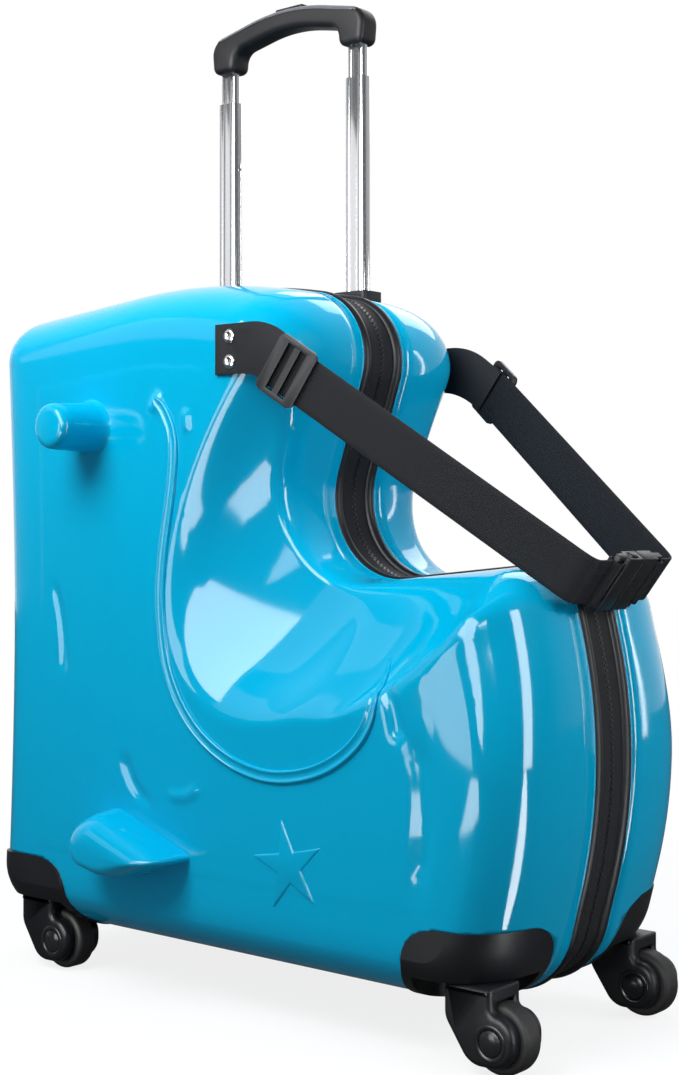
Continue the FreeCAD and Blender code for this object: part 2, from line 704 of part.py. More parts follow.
AXLE = Vector(0, 1, 0)
above_plate = size("fork_top") + size("fork_gap") + size("housing_plate")
proud = size("housing_proud")
proud_form = crowned("proud_form", -proud, start, reach + proud)
span = size("toe_along") + size("nose_along")
upper = block("above_plate", Placement(Vector(-span, -2 * reach, above_plate), Rotation()),
              Length="2 * (toe_along + nose_along)", Width="2 * side_reach", Height="arch_height")
upper_hollow = common("upper_hollow", cavity, upper)
pins = []
for end, tool in corners.items():
    base = swivel_place(end)
    swing = cylinder("swing_" + end, base, UP, Radius="trail + wheel_radius + swing_gap",
                     Height="fork_top + fork_gap")
    hole = cylinder("pin_hole_" + end, base, UP, Radius="pin_radius + pin_fit", Height="2 * fork_top")
    spot_face = cylinder("pin_room_" + end, base + UP * above_plate, UP, Radius="pin_head + pin_fit",
                         Height="2 * pin_head_thick")
    filled = common("corner_form_" + end, proud_form, tool)
    room = fuse("swing_room_" + end, swing, hole, spot_face)
    pair(cut("near_%s_housing" % end, filled, upper_hollow, room))
    shank = cylinder("pin_shank_" + end, base + UP * (size("fork_top") - size("pin_depth")), UP,
                     Radius="pin_radius", Height="pin_depth + fork_gap + housing_plate")
    head = cylinder("pin_head_" + end, base + UP * above_plate, UP, Radius="pin_head",
                    Height="pin_head_thick")
    pins.append(fuse("swivel_pin_" + end, shank, head))
pair(group("near_swivel_pins", pins))


def caster(prefix, x, y):
    top = size("fork_top")
    barrel = size("barrel_radius")
    cheek = size("cheek_radius")
    axle_x = x + size("trail")
    axle_z = size("wheel_radius")
    width = "(wheel_width + 2 * (wheel_side_gap + cheek_thick))"
    half = size("wheel_width") / 2 + size("wheel_side_gap") + size("cheek_thick")
    points = [
        (x - barrel, top),
        (x + barrel, top),
        (axle_x + cheek, axle_z + cheek),
        (axle_x + cheek, axle_z - cheek),
        (axle_x - cheek, axle_z - cheek),
        (x - barrel, top - size("barrel_height")),
    ]
    bends = [0, 0, cheek, cheek, cheek, size("fork_bend")]
    drawing = side_sketch(prefix + "_fork_outline", rounded(points, bends), -y - half)
    cheeks = extrude(prefix + "_cheeks", drawing, OUTWARD, width)
    drum = cylinder(prefix + "_barrel", Vector(x, y, top - size("barrel_height")), UP,
                    Radius="barrel_radius", Height="barrel_height")
    slot_half = size("wheel_width") / 2 + size("wheel_side_gap")
    slot = cylinder(prefix + "_slot", Vector(axle_x, y - slot_half, axle_z), AXLE,
                    Radius="wheel_radius + wheel_top_gap", Height="wheel_width + 2 * wheel_side_gap")
    bore = cylinder(prefix + "_bore", Vector(x, y, top - size("pin_depth") - size("fork_gap")), UP,
                    Radius="pin_radius + pin_play", Height="pin_depth + 2 * fork_gap")
    axle_end = Vector(axle_x, y - half, axle_z)
    eye = cylinder(prefix + "_eye", axle_end, AXLE, Radius="axle_radius", Height=width)
    room = fuse(prefix + "_fork_room", slot, bore, eye)
    node(cut(prefix + "_fork", fuse(prefix + "_fork_solid", cheeks, drum), room))
    shaft = cylinder(prefix + "_shaft", axle_end, AXLE, Radius="axle_radius", Height=width)
    heads = []
    for number, place in enumerate((y - half - size("axle_head_thick"), y + half)):
        heads.append(cylinder("%s_axle_head_%d" % (prefix, number), Vector(axle_x, place, axle_z), AXLE,
                              Radius="axle_head", Height="axle_head_thick"))
    node(fuse(prefix + "_axle", shaft, *heads))
    wheel_half = size("wheel_width") / 2
    rim = cylinder(prefix + "_rim", Vector(axle_x, y - wheel_half, axle_z), AXLE,
                   Radius="hub_radius", Height="wheel_width")
    hub_bore = cylinder(prefix + "_hub_bore", Vector(axle_x, y - wheel_half, axle_z), AXLE,
                        Radius="axle_radius + axle_play", Height="wheel_width")
    node(cut(prefix + "_hub", rim, hub_bore))
    tread = [
        (axle_x + size("hub_radius"), y - wheel_half),
        (axle_x + size("wheel_radius"), y - wheel_half),
        (axle_x + size("wheel_radius"), y + wheel_half),
        (axle_x + size("hub_radius"), y + wheel_half),
    ]
    bends = [0, size("tyre_round"), size("tyre_round"), 0]
    drawing = flat_sketch(prefix + "_tyre_profile", rounded(tread, bends), axle_z)
    node(revolve(prefix + "_tyre", drawing, Vector(axle_x, 0, axle_z), AXLE))


for side, out in (("near", -1), ("far", 1)):
    for end in corners:
        caster("%s_%s" % (side, end), swivel_place(end).x, out * size("swivel_out"))


# Waist strap: anchor tabs, slide adjusters and straps

def corner_crest(name):
    """Middle of one rounding of the case, on the parting plane."""
    arc = case_outline(0)[2 * CORNER_NAMES.index(name)].toShape()
    spot = arc.valueAt((arc.FirstParameter + arc.LastParameter) / 2)
    return Vector(spot.x, 0, spot.y)


tab_x, tab_z = at(size("tab_along"), size("tab_height"))
# The adjuster lies over the anchor tab: tab, gap and half the strap outside the side face
glide_out = size("side_reach") + 1.5 * size("strap_thick") + 2 * size("glide_seat")
GLIDE = Vector(tab_x + size("glide_beyond"), -glide_out, tab_z - size("glide_drop"))
# The strap falls from the adjuster so that its lower edge clears the corner of the seat
fall = corner_crest("seat") - Vector(GLIDE.x, 0, GLIDE.z)
clear = size("strap_width") / 2 + size("strap_clear")
lean = math.atan2(-fall.z, fall.x) - math.asin(clear / fall.Length)
LEAN = Rotation(Vector(0, 1, 0), math.degrees(lean))
strap_run = LEAN.inverted().multVec(fall).x + size("buckle_reach")
BUCKLE = Placement(Vector(GLIDE.x, 0, GLIDE.z) + LEAN.multVec(Vector(strap_run, 0, 0)), LEAN)
ACROSS = LEAN.multVec(UP)
glide_spot = Vector(-strap_run, -glide_out, 0)
corner_spot = Vector(0, -size("strap_corner"), 0)
run_way = corner_spot - glide_spot
run_way.normalize()
RUN = LEAN.multVec(run_way)
FACE = ACROSS.cross(RUN) * -1


def ribbon(path, bends, half):
    """Closed outline of a strip that follows an open path, with concentric bends."""
    last = len(path) - 1
    rims = []
    for side in (half, -half):
        rim = []
        for here, spot in enumerate(path):
            before = path[max(here, 1)] - path[max(here, 1) - 1]
            after = path[min(here + 1, last)] - path[min(here, last - 1)]
            before.normalize()
            after.normalize()
            first = Vector(-before.y, before.x, 0)
            second = Vector(-after.y, after.x, 0)
            mitre = (first + second) * (side / (1 + first.dot(second)))
            turn = before.x * after.y - before.y * after.x
            bend = bends[here] - math.copysign(side, turn) if bends[here] else 0
            rim.append((spot + mitre, bend))
        rims.append(rim)
    outline = rims[0] + rims[1][::-1]
    return rounded([(spot.x, spot.y) for spot, bend in outline], [bend for spot, bend in outline])


def anchor_tab():
    """Flat tab on the side face, bent to lie under the strap at the adjuster."""
    bend_x = GLIDE.x - size("glide_drop") / math.tan(lean)
    path = [Vector(tab_x, tab_z, 0), Vector(bend_x, tab_z, 0), Vector(GLIDE.x, GLIDE.z, 0)]
    outline = ribbon(path, [0, size("strap_width"), 0], size("strap_width") / 2)
    drawing = side_sketch("tab_outline", outline, size("side_reach"))
    webbing = extrude("tab_webbing", drawing, OUTWARD, "strap_thick")
    holes = [cylinder("tab_hole_%d" % number, Vector(x, -size("side_reach"), z), OUTWARD,
                      Radius="rivet_shank", Height="strap_thick")
             for number, (x, z) in enumerate(rivet_places())]
    pair(cut("near_strap_tab", webbing, *holes))


def strap():
    """Long strap from the adjuster to a sewn loop round the buckle's bar."""
    play = size("bar_play")
    thick = size("strap_thick")
    low = BUCKLE.multVec(Vector(0, 0, -size("strap_width") / 2))
    place = Placement(low, LEAN)
    far_side = size("buckle_end") + play
    near_side = size("buckle_end") - size("bar_long") - play
    eye = rectangle(size("bar_thick") + 2 * play, far_side - near_side, 0, (0, -(far_side + near_side) / 2))
    loop_end = far_side + 2 * thick
    loop_start = near_side - thick
    loop = rectangle(size("bar_thick") + 2 * (play + thick), loop_end - loop_start, thick,
                     (0, -(loop_end + loop_start) / 2))
    sewn = extrude("strap_loop", sketch("loop_outline", loop + eye, place), ACROSS, "strap_width")
    path = [glide_spot - run_way * size("strap_start"), corner_spot, Vector(0, -far_side - thick, 0)]
    outline = ribbon(path, [0, size("strap_bend"), 0], thick / 2)
    run = extrude("strap_run_solid", sketch("strap_outline", outline, place), ACROSS, "strap_width")
    pair(fuse("near_strap", run, sewn))


def glide():
    """Slide adjuster: a plate with two slots, lying on the webbing."""
    seat = GLIDE + FACE * (size("strap_thick") / 2 + size("glide_seat"))
    turn = Rotation(RUN, ACROSS, FACE, "ZXY")
    shift = (size("glide_bar") + size("glide_slot")) / 2
    wide = size("strap_width") + 2 * size("glide_seat")
    shape = rectangle(size("glide_long"), size("glide_wide"), size("glide_bar"))
    shape += rectangle(size("glide_slot"), wide, size("glide_seat"), (-shift, 0))
    shape += rectangle(size("glide_slot"), wide, size("glide_seat"), (shift, 0))
    drawing = sketch("glide_outline", shape, Placement(seat, turn))
    pair(extrude("near_glide", drawing, FACE, "glide_thick"))


def rivets():
    face = -size("side_reach")
    solids = []
    for number, (x, z) in enumerate(rivet_places()):
        top = face - size("strap_thick")
        inside = face + size("shell_wall")
        shank = cylinder("rivet_shank_%d" % number, Vector(x, top, z), -OUTWARD, Radius="rivet_shank",
                         Height="strap_thick + shell_wall")
        head = cylinder("rivet_head_%d" % number, Vector(x, top, z), OUTWARD, Radius="rivet_head",
                        Height="rivet_head_thick")
        tail = cylinder("rivet_tail_%d" % number, Vector(x, inside, z), -OUTWARD, Radius="rivet_tail",
                        Height="rivet_tail_thick")
        solids.append(fuse("rivet_%d" % number, shank, head, tail))
    pair(group("near_rivets", solids))


anchor_tab()
strap()
glide()
rivets()


# Buckle at the nose: socket on the near strap, plug with squeeze tabs on the far strap

def buckle_block(name, x, y, z, **formulas):
    """Block with one corner at a place of the buckle: through it, along the strap, across the webbing."""
    return block(name, BUCKLE.multiply(Placement(Vector(x, y, z), Rotation())), **formulas)


def buckle_half(name, side):
    """Body with a bar for the webbing, on one side of the parting plane."""
    half = size("buckle_wide") / 2
    gap = size("buckle_gap")
    end = size("buckle_end")
    body_y = gap if side > 0 else -size("buckle_body")
    frame_y = size("buckle_body") if side > 0 else -end
    slot_y = end - size("bar_long") - size("bar_slot") if side > 0 else size("bar_long") - end
    body = buckle_block(name + "_body", -size("buckle_thick") / 2, body_y, -half, Length="buckle_thick",
                        Width="buckle_body - buckle_gap", Height="buckle_wide")
    frame = buckle_block(name + "_frame", -size("bar_thick") / 2, frame_y, -half, Length="bar_thick",
                         Width="buckle_end - buckle_body", Height="buckle_wide")
    slot_half = size("strap_width") / 2 + size("bar_play")
    slot = buckle_block(name + "_slot", -size("buckle_thick"), slot_y, -slot_half, Length="2 * buckle_thick",
                        Width="bar_slot", Height="strap_width + 2 * bar_play")
    return cut(name + "_blank", fuse(name + "_solid", body, frame), slot)


def buckle():
    room = size("buckle_thick") / 2 - size("buckle_wall")
    half = size("buckle_wide") / 2
    inside = half - size("buckle_side")
    mouth = size("buckle_gap")
    deep = size("buckle_body") - size("buckle_floor")
    cave = buckle_block("socket_cave", -room, -deep, -inside, Length="buckle_thick - 2 * buckle_wall",
                        Width="buckle_body - buckle_floor", Height="buckle_wide - 2 * buckle_side")
    window_y = -mouth - size("squeeze_rim") - size("squeeze_window")
    window = buckle_block("socket_window", -room, window_y, -half, Length="buckle_thick - 2 * buckle_wall",
                          Width="squeeze_window", Height="buckle_wide")
    node(cut("buckle_socket", buckle_half("socket", -1), fuse("socket_room", cave, window)))
    play = size("prong_play")
    prong = buckle_block("plug_prong", play - room, play - deep, -size("prong_wide") / 2,
                         Length="buckle_thick - 2 * (buckle_wall + prong_play)",
                         Width="buckle_body - buckle_floor - prong_play + buckle_gap", Height="prong_wide")
    node(fuse("buckle_plug", buckle_half("plug", 1), prong))
    arm_y = play - deep
    arm_outer = inside - play
    arm_high = arm_outer - size("prong_wide") / 2 - size("squeeze_travel") - size("squeeze_gap")
    pad_outer = half + size("squeeze_proud")
    for name, sign in (("upper", 1), ("lower", -1)):
        arm_z = arm_outer - arm_high if sign > 0 else -arm_outer
        arm = buckle_block("squeeze_arm_" + name, play - room, arm_y, arm_z,
                           Length="buckle_thick - 2 * (buckle_wall + prong_play)",
                           Width="buckle_body - buckle_floor - prong_play + buckle_gap - squeeze_gap",
                           Height="(buckle_wide - prong_wide) / 2 - buckle_side - prong_play"
                                  " - squeeze_travel - squeeze_gap")
        pad_z = arm_outer - play if sign > 0 else -pad_outer
        pad = buckle_block("squeeze_pad_" + name, play - room, window_y + play, pad_z,
                           Length="buckle_thick - 2 * (buckle_wall + prong_play)",
                           Width="squeeze_window - 2 * prong_play",
                           Height="buckle_side + squeeze_proud + 2 * prong_play")
        node(fuse("buckle_tab_" + name, arm, pad))


buckle()


# Trolley: sleeves, two tube stages, grip and release button

TUBE_X = [at(size("tube_along") + step * size("tube_spacing"), 0)[0] for step in (0, 1)]
TUBE_Y = size("tube_out")


def tube_outline(x, grow, base="outer"):
    """Rounded tube outline round one tube's axis, grown on every side."""
    return rectangle(size(base + "_long") + 2 * grow, size(base + "_wide") + 2 * grow,
                     size("tube_round") + min(grow, 0) / 2, (x, TUBE_Y))


def prism(name, x, grow, low, length, base="outer"):
    drawing = flat_sketch(name + "_outline", tube_outline(x, grow, base), low)
    return extrude(name, drawing, UP, length)


def tubes(name, base, low, length):
    """Two tubes of one stage."""
    solids = []
    for number, x in enumerate(TUBE_X):
        shape = tube_outline(x, 0, base) + tube_outline(x, -size("tube_wall"), base)
        drawing = flat_sketch("%s_outline_%d" % (name, number), shape, low)
        solids.append(extrude("%s_tube_%d" % (name, number), drawing, UP, length))
    return node(group(name, solids))


far_shell_blank = mirror("far_shell_blank", near_shell)
far_outer = mirror("far_outer_form", outer)
far_cavity = mirror("far_cavity_form", cavity)
sleeve_foot = size("floor_gap") + size("shell_wall") + size("bracket_floor")
sleeve_grow = size("tube_play") + size("sleeve_wall")
sleeves = []
collars = []
sleeve_rooms = []
for number, x in enumerate(TUBE_X):
    crest = top_of_case(x)
    collar_top = crest + size("collar_rise")
    sleeve_top = crest + size("sleeve_rise")
    ring = tube_outline(x, sleeve_grow) + tube_outline(x, size("tube_play"))
    drawing = flat_sketch("sleeve_outline_%d" % number, ring, sleeve_foot)
    sleeves.append(extrude("sleeve_%d" % number, drawing, UP, sleeve_top - sleeve_foot))
    fit = sleeve_grow + size("sleeve_play")
    room_foot = sleeve_foot + size("lap_height")
    sleeve_rooms.append(prism("sleeve_room_%d" % number, x, fit, room_foot, sleeve_top - room_foot))
    low = crest - size("crown_roll") / 2
    rim = tube_outline(x, sleeve_grow + size("collar_wall")) + tube_outline(x, size("tube_play"))
    drawing = flat_sketch("collar_outline_%d" % number, rim, low)
    ring = extrude("collar_ring_%d" % number, drawing, UP, collar_top - low)
    collars.append(cut("collar_%d" % number, ring, far_outer, sleeve_rooms[-1]))
node(group("trolley_sleeves", sleeves))
node(group("trolley_collars", collars))
node(cut("far_shell", far_shell_blank, *sleeve_rooms))
bracket_out = sleeve_grow + size("bracket_margin")
bracket_corner = Vector(TUBE_X[0] - size("outer_long") / 2 - bracket_out,
                        TUBE_Y - size("outer_wide") / 2 - bracket_out, 0)
bracket_grow = "2 * (tube_play + sleeve_wall + bracket_margin)"
bracket_box = block("bracket_box", Placement(bracket_corner, Rotation()),
                    Length="tube_spacing + outer_long + " + bracket_grow,
                    Width="outer_wide + " + bracket_grow, Height="floor_gap + shell_wall + bracket_height")
seats = [prism("sleeve_seat_%d" % number, x, sleeve_grow, sleeve_foot, "bracket_height")
         for number, x in enumerate(TUBE_X)]
column_swivel = swivel_place("column")
housing_room = cylinder("housing_room", Vector(column_swivel.x, -column_swivel.y, 0), UP,
                        Radius="trail + wheel_radius + swing_gap + housing_wall + bracket_gap",
                        Height="fork_top + fork_gap + housing_plate + housing_rise")
node(cut("trolley_bracket", common("bracket_solid", bracket_box, far_cavity), housing_room, *seats))

outer_top = size("outer_top")
tubes("trolley_outer", "outer", outer_top - size("outer_length"), "outer_length")
grip_low = outer_top + size("grip_gap")
inner_low = grip_low + size("grip_socket") - size("inner_length")
tubes("trolley_inner", "inner", inner_low, "inner_length")


def grip():
    arm = size("grip_arm") / 2
    left, right = TUBE_X[0] - arm, TUBE_X[1] + arm
    middle = (TUBE_X[0] + TUBE_X[1]) / 2
    top = grip_low + size("grip_height")
    shoulder = top - size("grip_arch")
    under = top - size("grip_thick")
    under_shoulder = shoulder - size("grip_thick")
    points = [
        (left, grip_low),
        (left, shoulder),
        (middle, top + size("grip_arch") / 2),
        (right, shoulder),
        (right, grip_low),
        (right - 2 * arm, grip_low),
        (right - 2 * arm, under_shoulder + size("grip_arch") / 2),
        (middle, under + size("grip_arch") / 2),
        (left + 2 * arm, under_shoulder + size("grip_arch") / 2),
        (left + 2 * arm, grip_low),
    ]
    foot = size("grip_foot")
    bend = size("grip_shoulder")
    under_bend = size("grip_bend")
    bends = [foot, bend, size("grip_top"), bend, foot, foot, under_bend, size("grip_under"), under_bend, foot]
    body = doc.addObject("PartDesign::Body", "grip_body")
    drawing = body.newObject("Sketcher::SketchObject", "grip_outline")
    plane = next(item for item in body.Origin.OriginFeatures if item.Role == "XZ_Plane")
    drawing.AttachmentSupport = [(plane, "")]
    drawing.MapMode = "FlatFace"
    drawing.AttachmentOffset = Placement(Vector(0, 0, -TUBE_Y), Rotation())
    drawing.addGeometry(rounded(points, bends), False)
    pad = body.newObject("PartDesign::Pad", "grip_pad")
    pad.Profile = drawing
    pad.SideType = "Symmetric"
    bind(pad, Length="grip_deep")
    doc.recompute()
    soft = body.newObject("PartDesign::Fillet", "grip_soft")
    rims = [edge for edge, line in enumerate(pad.Shape.Edges, start=1)
            if abs(abs(line.CenterOfMass.y - TUBE_Y) - size("grip_deep") / 2) < size("grip_fit")]
    soft.Base = (pad, ["Edge%d" % edge for edge in rims])
    bind(soft, Radius="grip_round")
    body.Tip = soft
    doc.recompute()
    crest = soft.Shape.optimalBoundingBox(False, False).ZMax
    sockets = [prism("grip_socket_%d" % number, x, size("grip_fit"), grip_low - size("grip_socket"),
                     "2 * grip_socket + grip_fit", "inner") for number, x in enumerate(TUBE_X)]
    low = crest + size("button_proud") - size("button_tall")
    half_long, half_wide = size("button_long") / 2, size("button_wide") / 2
    play = size("button_play")
    room_low = low - size("button_travel") - play
    corner = Vector(middle - half_long - play, TUBE_Y - half_wide - play, room_low)
    room = block("button_room", Placement(corner, Rotation()), Length="button_long + 2 * button_play",
                 Width="button_wide + 2 * button_play", Height="button_tall + button_travel + grip_arch")
    node(cut("trolley_grip", body, room, *sockets))
    key = flat_sketch("button_outline", rectangle(size("button_long"), size("button_wide"), half_wide / 2,
                      (middle, TUBE_Y)), low)
    node(extrude("trolley_button", key, UP, "button_tall"))


grip()
doc.recompute()

# Every feature is sound before the pieces are written out
for item in doc.Objects:
    if "Invalid" in item.State or "Error" in item.State:
        raise RuntimeError("feature failed: " + item.Name)
os.makedirs("parts", exist_ok=True)
for name, item in NODES.items():
    item.Label = name
    if item.Shape.isNull() or not item.Shape.isValid():
        raise RuntimeError("bad shape: " + name)
    item.Shape.exportStep("parts/%s.step" % name)
    box = item.Shape.BoundBox
    print("%-22s solids %d  X %.1f %.1f  Y %.1f %.1f  Z %.1f %.1f" % (
        name, len(item.Shape.Solids), box.XMin, box.XMax, box.YMin, box.YMax, box.ZMin, box.ZMax))
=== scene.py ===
# %% [markdown]
# # A ride-on suitcase
# A child's hard suitcase with a saddle to sit on: two glossy half shells that open like a book on a
# black zip band, four swivel casters, a waist strap and a drawn-out trolley handle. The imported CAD
# model is the fixed frame. Each cell makes one piece of the object over it, or gives a CAD piece its
# finish.

# %% Load the frame
import json
import math

import bmesh
import bpy
from mathutils import Matrix, Quaternion, Vector
from mathutils.kdtree import KDTree


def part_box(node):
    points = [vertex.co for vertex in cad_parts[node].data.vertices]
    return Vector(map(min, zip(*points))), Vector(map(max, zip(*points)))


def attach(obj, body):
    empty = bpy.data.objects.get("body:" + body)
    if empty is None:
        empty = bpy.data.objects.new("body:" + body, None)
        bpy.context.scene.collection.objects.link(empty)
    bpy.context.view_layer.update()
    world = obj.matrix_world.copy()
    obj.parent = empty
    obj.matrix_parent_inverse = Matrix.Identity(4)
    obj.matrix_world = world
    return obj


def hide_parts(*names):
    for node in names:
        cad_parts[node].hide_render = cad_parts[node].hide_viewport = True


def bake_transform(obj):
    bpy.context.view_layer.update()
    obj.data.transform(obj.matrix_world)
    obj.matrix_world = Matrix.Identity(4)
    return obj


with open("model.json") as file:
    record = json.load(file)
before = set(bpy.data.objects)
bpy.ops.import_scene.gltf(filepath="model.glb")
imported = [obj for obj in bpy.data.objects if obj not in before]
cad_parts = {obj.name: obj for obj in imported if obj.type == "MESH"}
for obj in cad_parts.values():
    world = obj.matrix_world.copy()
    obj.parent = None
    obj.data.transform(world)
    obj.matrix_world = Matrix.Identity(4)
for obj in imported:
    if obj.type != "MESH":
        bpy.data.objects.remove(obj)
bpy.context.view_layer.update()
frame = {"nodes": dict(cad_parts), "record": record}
nodes = frame["nodes"]
MM = 0.001

# %% [markdown]
# ## Camera, floor and light
# The photograph is taken level, from a place 40 degrees round from the near side towards the nose. A studio
# shot of a glossy shell is made of its reflections, so besides four soft boxes that light the object there
# are cards, which only the gloss shows: for the scoop, the haunch, the nose, the rims and the tubes.
# The room is white behind the object and dim behind the camera, or the gloss would wash the colour out.
# The floor turns white with the distance, so that no horizon shows, and keeps the shadow close by.

# %% Camera
scene = bpy.context.scene
CAMERA_TURN = math.radians(40)


def linked(name, data):
    """New object in the scene."""
    made = bpy.data.objects.new(name, data)
    scene.collection.objects.link(made)
    return made


camera_data = bpy.data.cameras.new("camera")
camera_data.lens = 57.83
camera_data.sensor_width = 36
camera_data.shift_y = -0.0121
camera = linked("camera", camera_data)
camera.location = (0.9048, -1.0677, 0.374)
camera.rotation_euler = (math.radians(90), 0, CAMERA_TURN)
scene.camera = camera
scene.view_settings.view_transform = "Standard"
print("camera at", tuple(round(value, 3) for value in camera.location))


# %% Node helpers
def feed(tree, node, inputs):
    """Sets inputs of a node to values, or links them to outputs of others."""
    for name, value in inputs.items():
        if isinstance(value, bpy.types.NodeSocket):
            tree.links.new(value, node.inputs[name])
        else:
            node.inputs[name].default_value = value


def shade(tree, kind, inputs=None, **settings):
    """One shader node with its settings and its inputs."""
    made = tree.nodes.new("ShaderNode" + kind)
    for name, value in settings.items():
        setattr(made, name, value)
    feed(tree, made, inputs or {})
    return made


def mixed(tree, share, first, second):
    return shade(tree, "MixShader", {0: share, 1: first.outputs[0], 2: second.outputs[0]})


def by_ray(tree, lighting, mirrored, seen):
    """One shader for rays that light, one for what a mirror or a glass shows and one for the camera."""
    rays = shade(tree, "LightPath").outputs
    gloss = shade(tree, "Math", {0: rays["Is Camera Ray"], 1: rays["Is Glossy Ray"]}, operation="MAXIMUM")
    glass = shade(tree, "Math", {0: gloss.outputs[0], 1: rays["Is Transmission Ray"]}, operation="MAXIMUM")
    shown = mixed(tree, rays["Is Camera Ray"], mirrored, seen)
    return mixed(tree, glass.outputs[0], lighting, shown)


print("node helpers ready")

# %% World and floor
TOWARD_CAMERA = (math.sin(CAMERA_TURN), -math.cos(CAMERA_TURN), 0)
WHITE = (1, 1, 1, 1)
world = bpy.data.worlds.new("studio")
world.use_nodes = True
tree = world.node_tree
tree.nodes.clear()
way = shade(tree, "TexCoord").outputs["Generated"]
toward = shade(tree, "VectorMath", {0: way, 1: TOWARD_CAMERA}, operation="DOT_PRODUCT").outputs["Value"]
room = shade(tree, "MapRange", {"Value": toward, "From Min": -0.8, "From Max": 0.05,
                                "To Min": 1.0, "To Max": 0.05})
fill = shade(tree, "Background", {"Color": (0.76, 0.86, 1.0, 1), "Strength": 0.37})
mirrored = shade(tree, "Background", {"Color": WHITE, "Strength": room.outputs[0]})
white = shade(tree, "Background", {"Color": WHITE, "Strength": 1.0})
mix = by_ray(tree, fill, mirrored, white)
shade(tree, "OutputWorld", {"Surface": mix.outputs[0]})
scene.world = world

floor_finish = bpy.data.materials.new("studio_floor")
floor_finish.use_nodes = True
tree = floor_finish.node_tree
tree.nodes.clear()
paper = shade(tree, "BsdfDiffuse", {"Color": (0.2, 0.2, 0.2, 1)})
glow = shade(tree, "Emission", {"Color": WHITE, "Strength": 0.83})
near = shade(tree, "AddShader", {0: paper.outputs[0], 1: glow.outputs[0]})
white = shade(tree, "Emission", {"Color": WHITE, "Strength": 1.0})
spot = shade(tree, "TexCoord").outputs["Object"]
away = shade(tree, "VectorMath", {0: spot}, operation="LENGTH").outputs["Value"]
fade = shade(tree, "MapRange", {"Value": away, "From Min": 0.35, "From Max": 1.1})
sheet = mixed(tree, fade.outputs[0], near, white)
mirrored = shade(tree, "Emission", {"Color": WHITE, "Strength": 0.07})
mix = by_ray(tree, paper, mirrored, sheet)
shade(tree, "OutputMaterial", {"Surface": mix.outputs[0]})

FLOOR_HALF = 6.0
bm = bmesh.new()
bmesh.ops.create_grid(bm, x_segments=1, y_segments=1, size=FLOOR_HALF)
floor_mesh = bpy.data.meshes.new("floor")
bm.to_mesh(floor_mesh)
bm.free()
floor_mesh.materials.append(floor_finish)
floor = linked("floor", floor_mesh)
print("floor", 2 * FLOOR_HALF, "m wide")


# %% Soft boxes and cards
OBJECT_MIDDLE = Vector((0, 0, 0.3))
UPWARD = Vector((0, 0, 1))


def area_lamp(name, spot, aim, width, height, radiance, lights, mirrored, roll=0):
    """Rectangular lamp looking along aim, rolled round it by some degrees."""
    lamp = bpy.data.lights.new(name, "AREA")
    lamp.shape = "RECTANGLE"
    lamp.size = width
    lamp.size_y = height
    lamp.energy = radiance * math.pi * width * height
    body = linked(name, lamp)
    body.location = spot
    turn = aim.to_track_quat("-Z", "Y") @ Quaternion((0, 0, 1), math.radians(roll))
    body.rotation_euler = turn.to_euler()
    body.visible_camera = False
    body.visible_diffuse = lights
    body.visible_glossy = mirrored
    return lamp


def soft_box(name, azimuth, elevation, distance, *look, lights=True, mirrored=True, roll=0):
    """Lamp round the object; azimuth 0 is in front of the near side, 90 before the nose.
    The look is width, height and radiance. A card lights nothing and shows only in the gloss."""
    turn = math.radians(azimuth)
    rise = math.radians(elevation)
    way = Vector((math.sin(turn) * math.cos(rise), -math.cos(turn) * math.cos(rise), math.sin(rise)))
    area_lamp(name, OBJECT_MIDDLE + way * distance, -way, *look, lights, mirrored, roll)


soft_box("box_above", 0, 62, 1.2, 0.9, 0.7, 2.5, mirrored=False)
soft_box("box_front", -8, 42, 1.08, 0.6, 0.45, 8.6, mirrored=False)
soft_box("box_side", 108, 26, 1.8, 0.8, 0.8, 6.0, mirrored=False)
soft_box("box_back", -165, 40, 2.4, 1.4, 1.0, 3.0)
soft_box("card_window", 4, 25.3, 2.2, 2.5, 1.15, 10.0, lights=False, roll=-29)
soft_box("card_haunch", -17, 1, 2.2, 0.85, 0.7, 5.0, lights=False)
soft_box("card_square", 48, 16, 2.2, 0.6, 0.11, 12.0, lights=False)
soft_box("card_tubes", -43, 26, 2.2, 0.9, 0.9, 0.8, lights=False)
soft_box("card_nose", 96, 9, 2.2, 0.42, 1.3, 12.0, lights=False)
soft_box("card_rim", 147, 8, 2.3, 0.06, 1.2, 9.0, lights=False)
area_lamp("card_lip", Vector((0.12, -1.2, 0.004)), UPWARD, 0.56, 0.7, 9.0, False, True)
low_strip = area_lamp("card_nose_floor", Vector((1.3, 0.02, 0.004)), UPWARD, 1.9, 0.12, 12.0, False, True,
                      roll=-6.2)
low_strip.shape = "ELLIPSE"
print("four soft boxes and eight cards")

# %% [markdown]
# ## Finishes
# The object has few materials: cyan gloss plastic, satin black plastic, black webbing and tape, rubber
# and bright aluminium. What they share is made once as node groups, a slow drift of colour and the fine
# grain of a mould, and each finish sets its own values.


# %% Shared effects
def group_tree(name, inputs, outputs):
    """Empty node group with named sockets: a float, or a colour for a value of four numbers."""
    tree = bpy.data.node_groups.new(name, "ShaderNodeTree")
    for socket, value in inputs.items():
        kind = "NodeSocketColor" if isinstance(value, tuple) else "NodeSocketFloat"
        tree.interface.new_socket(name=socket, in_out="INPUT", socket_type=kind).default_value = value
    for socket, kind in outputs.items():
        tree.interface.new_socket(name=socket, in_out="OUTPUT", socket_type=kind)
    return tree, tree.nodes.new("NodeGroupInput"), tree.nodes.new("NodeGroupOutput")


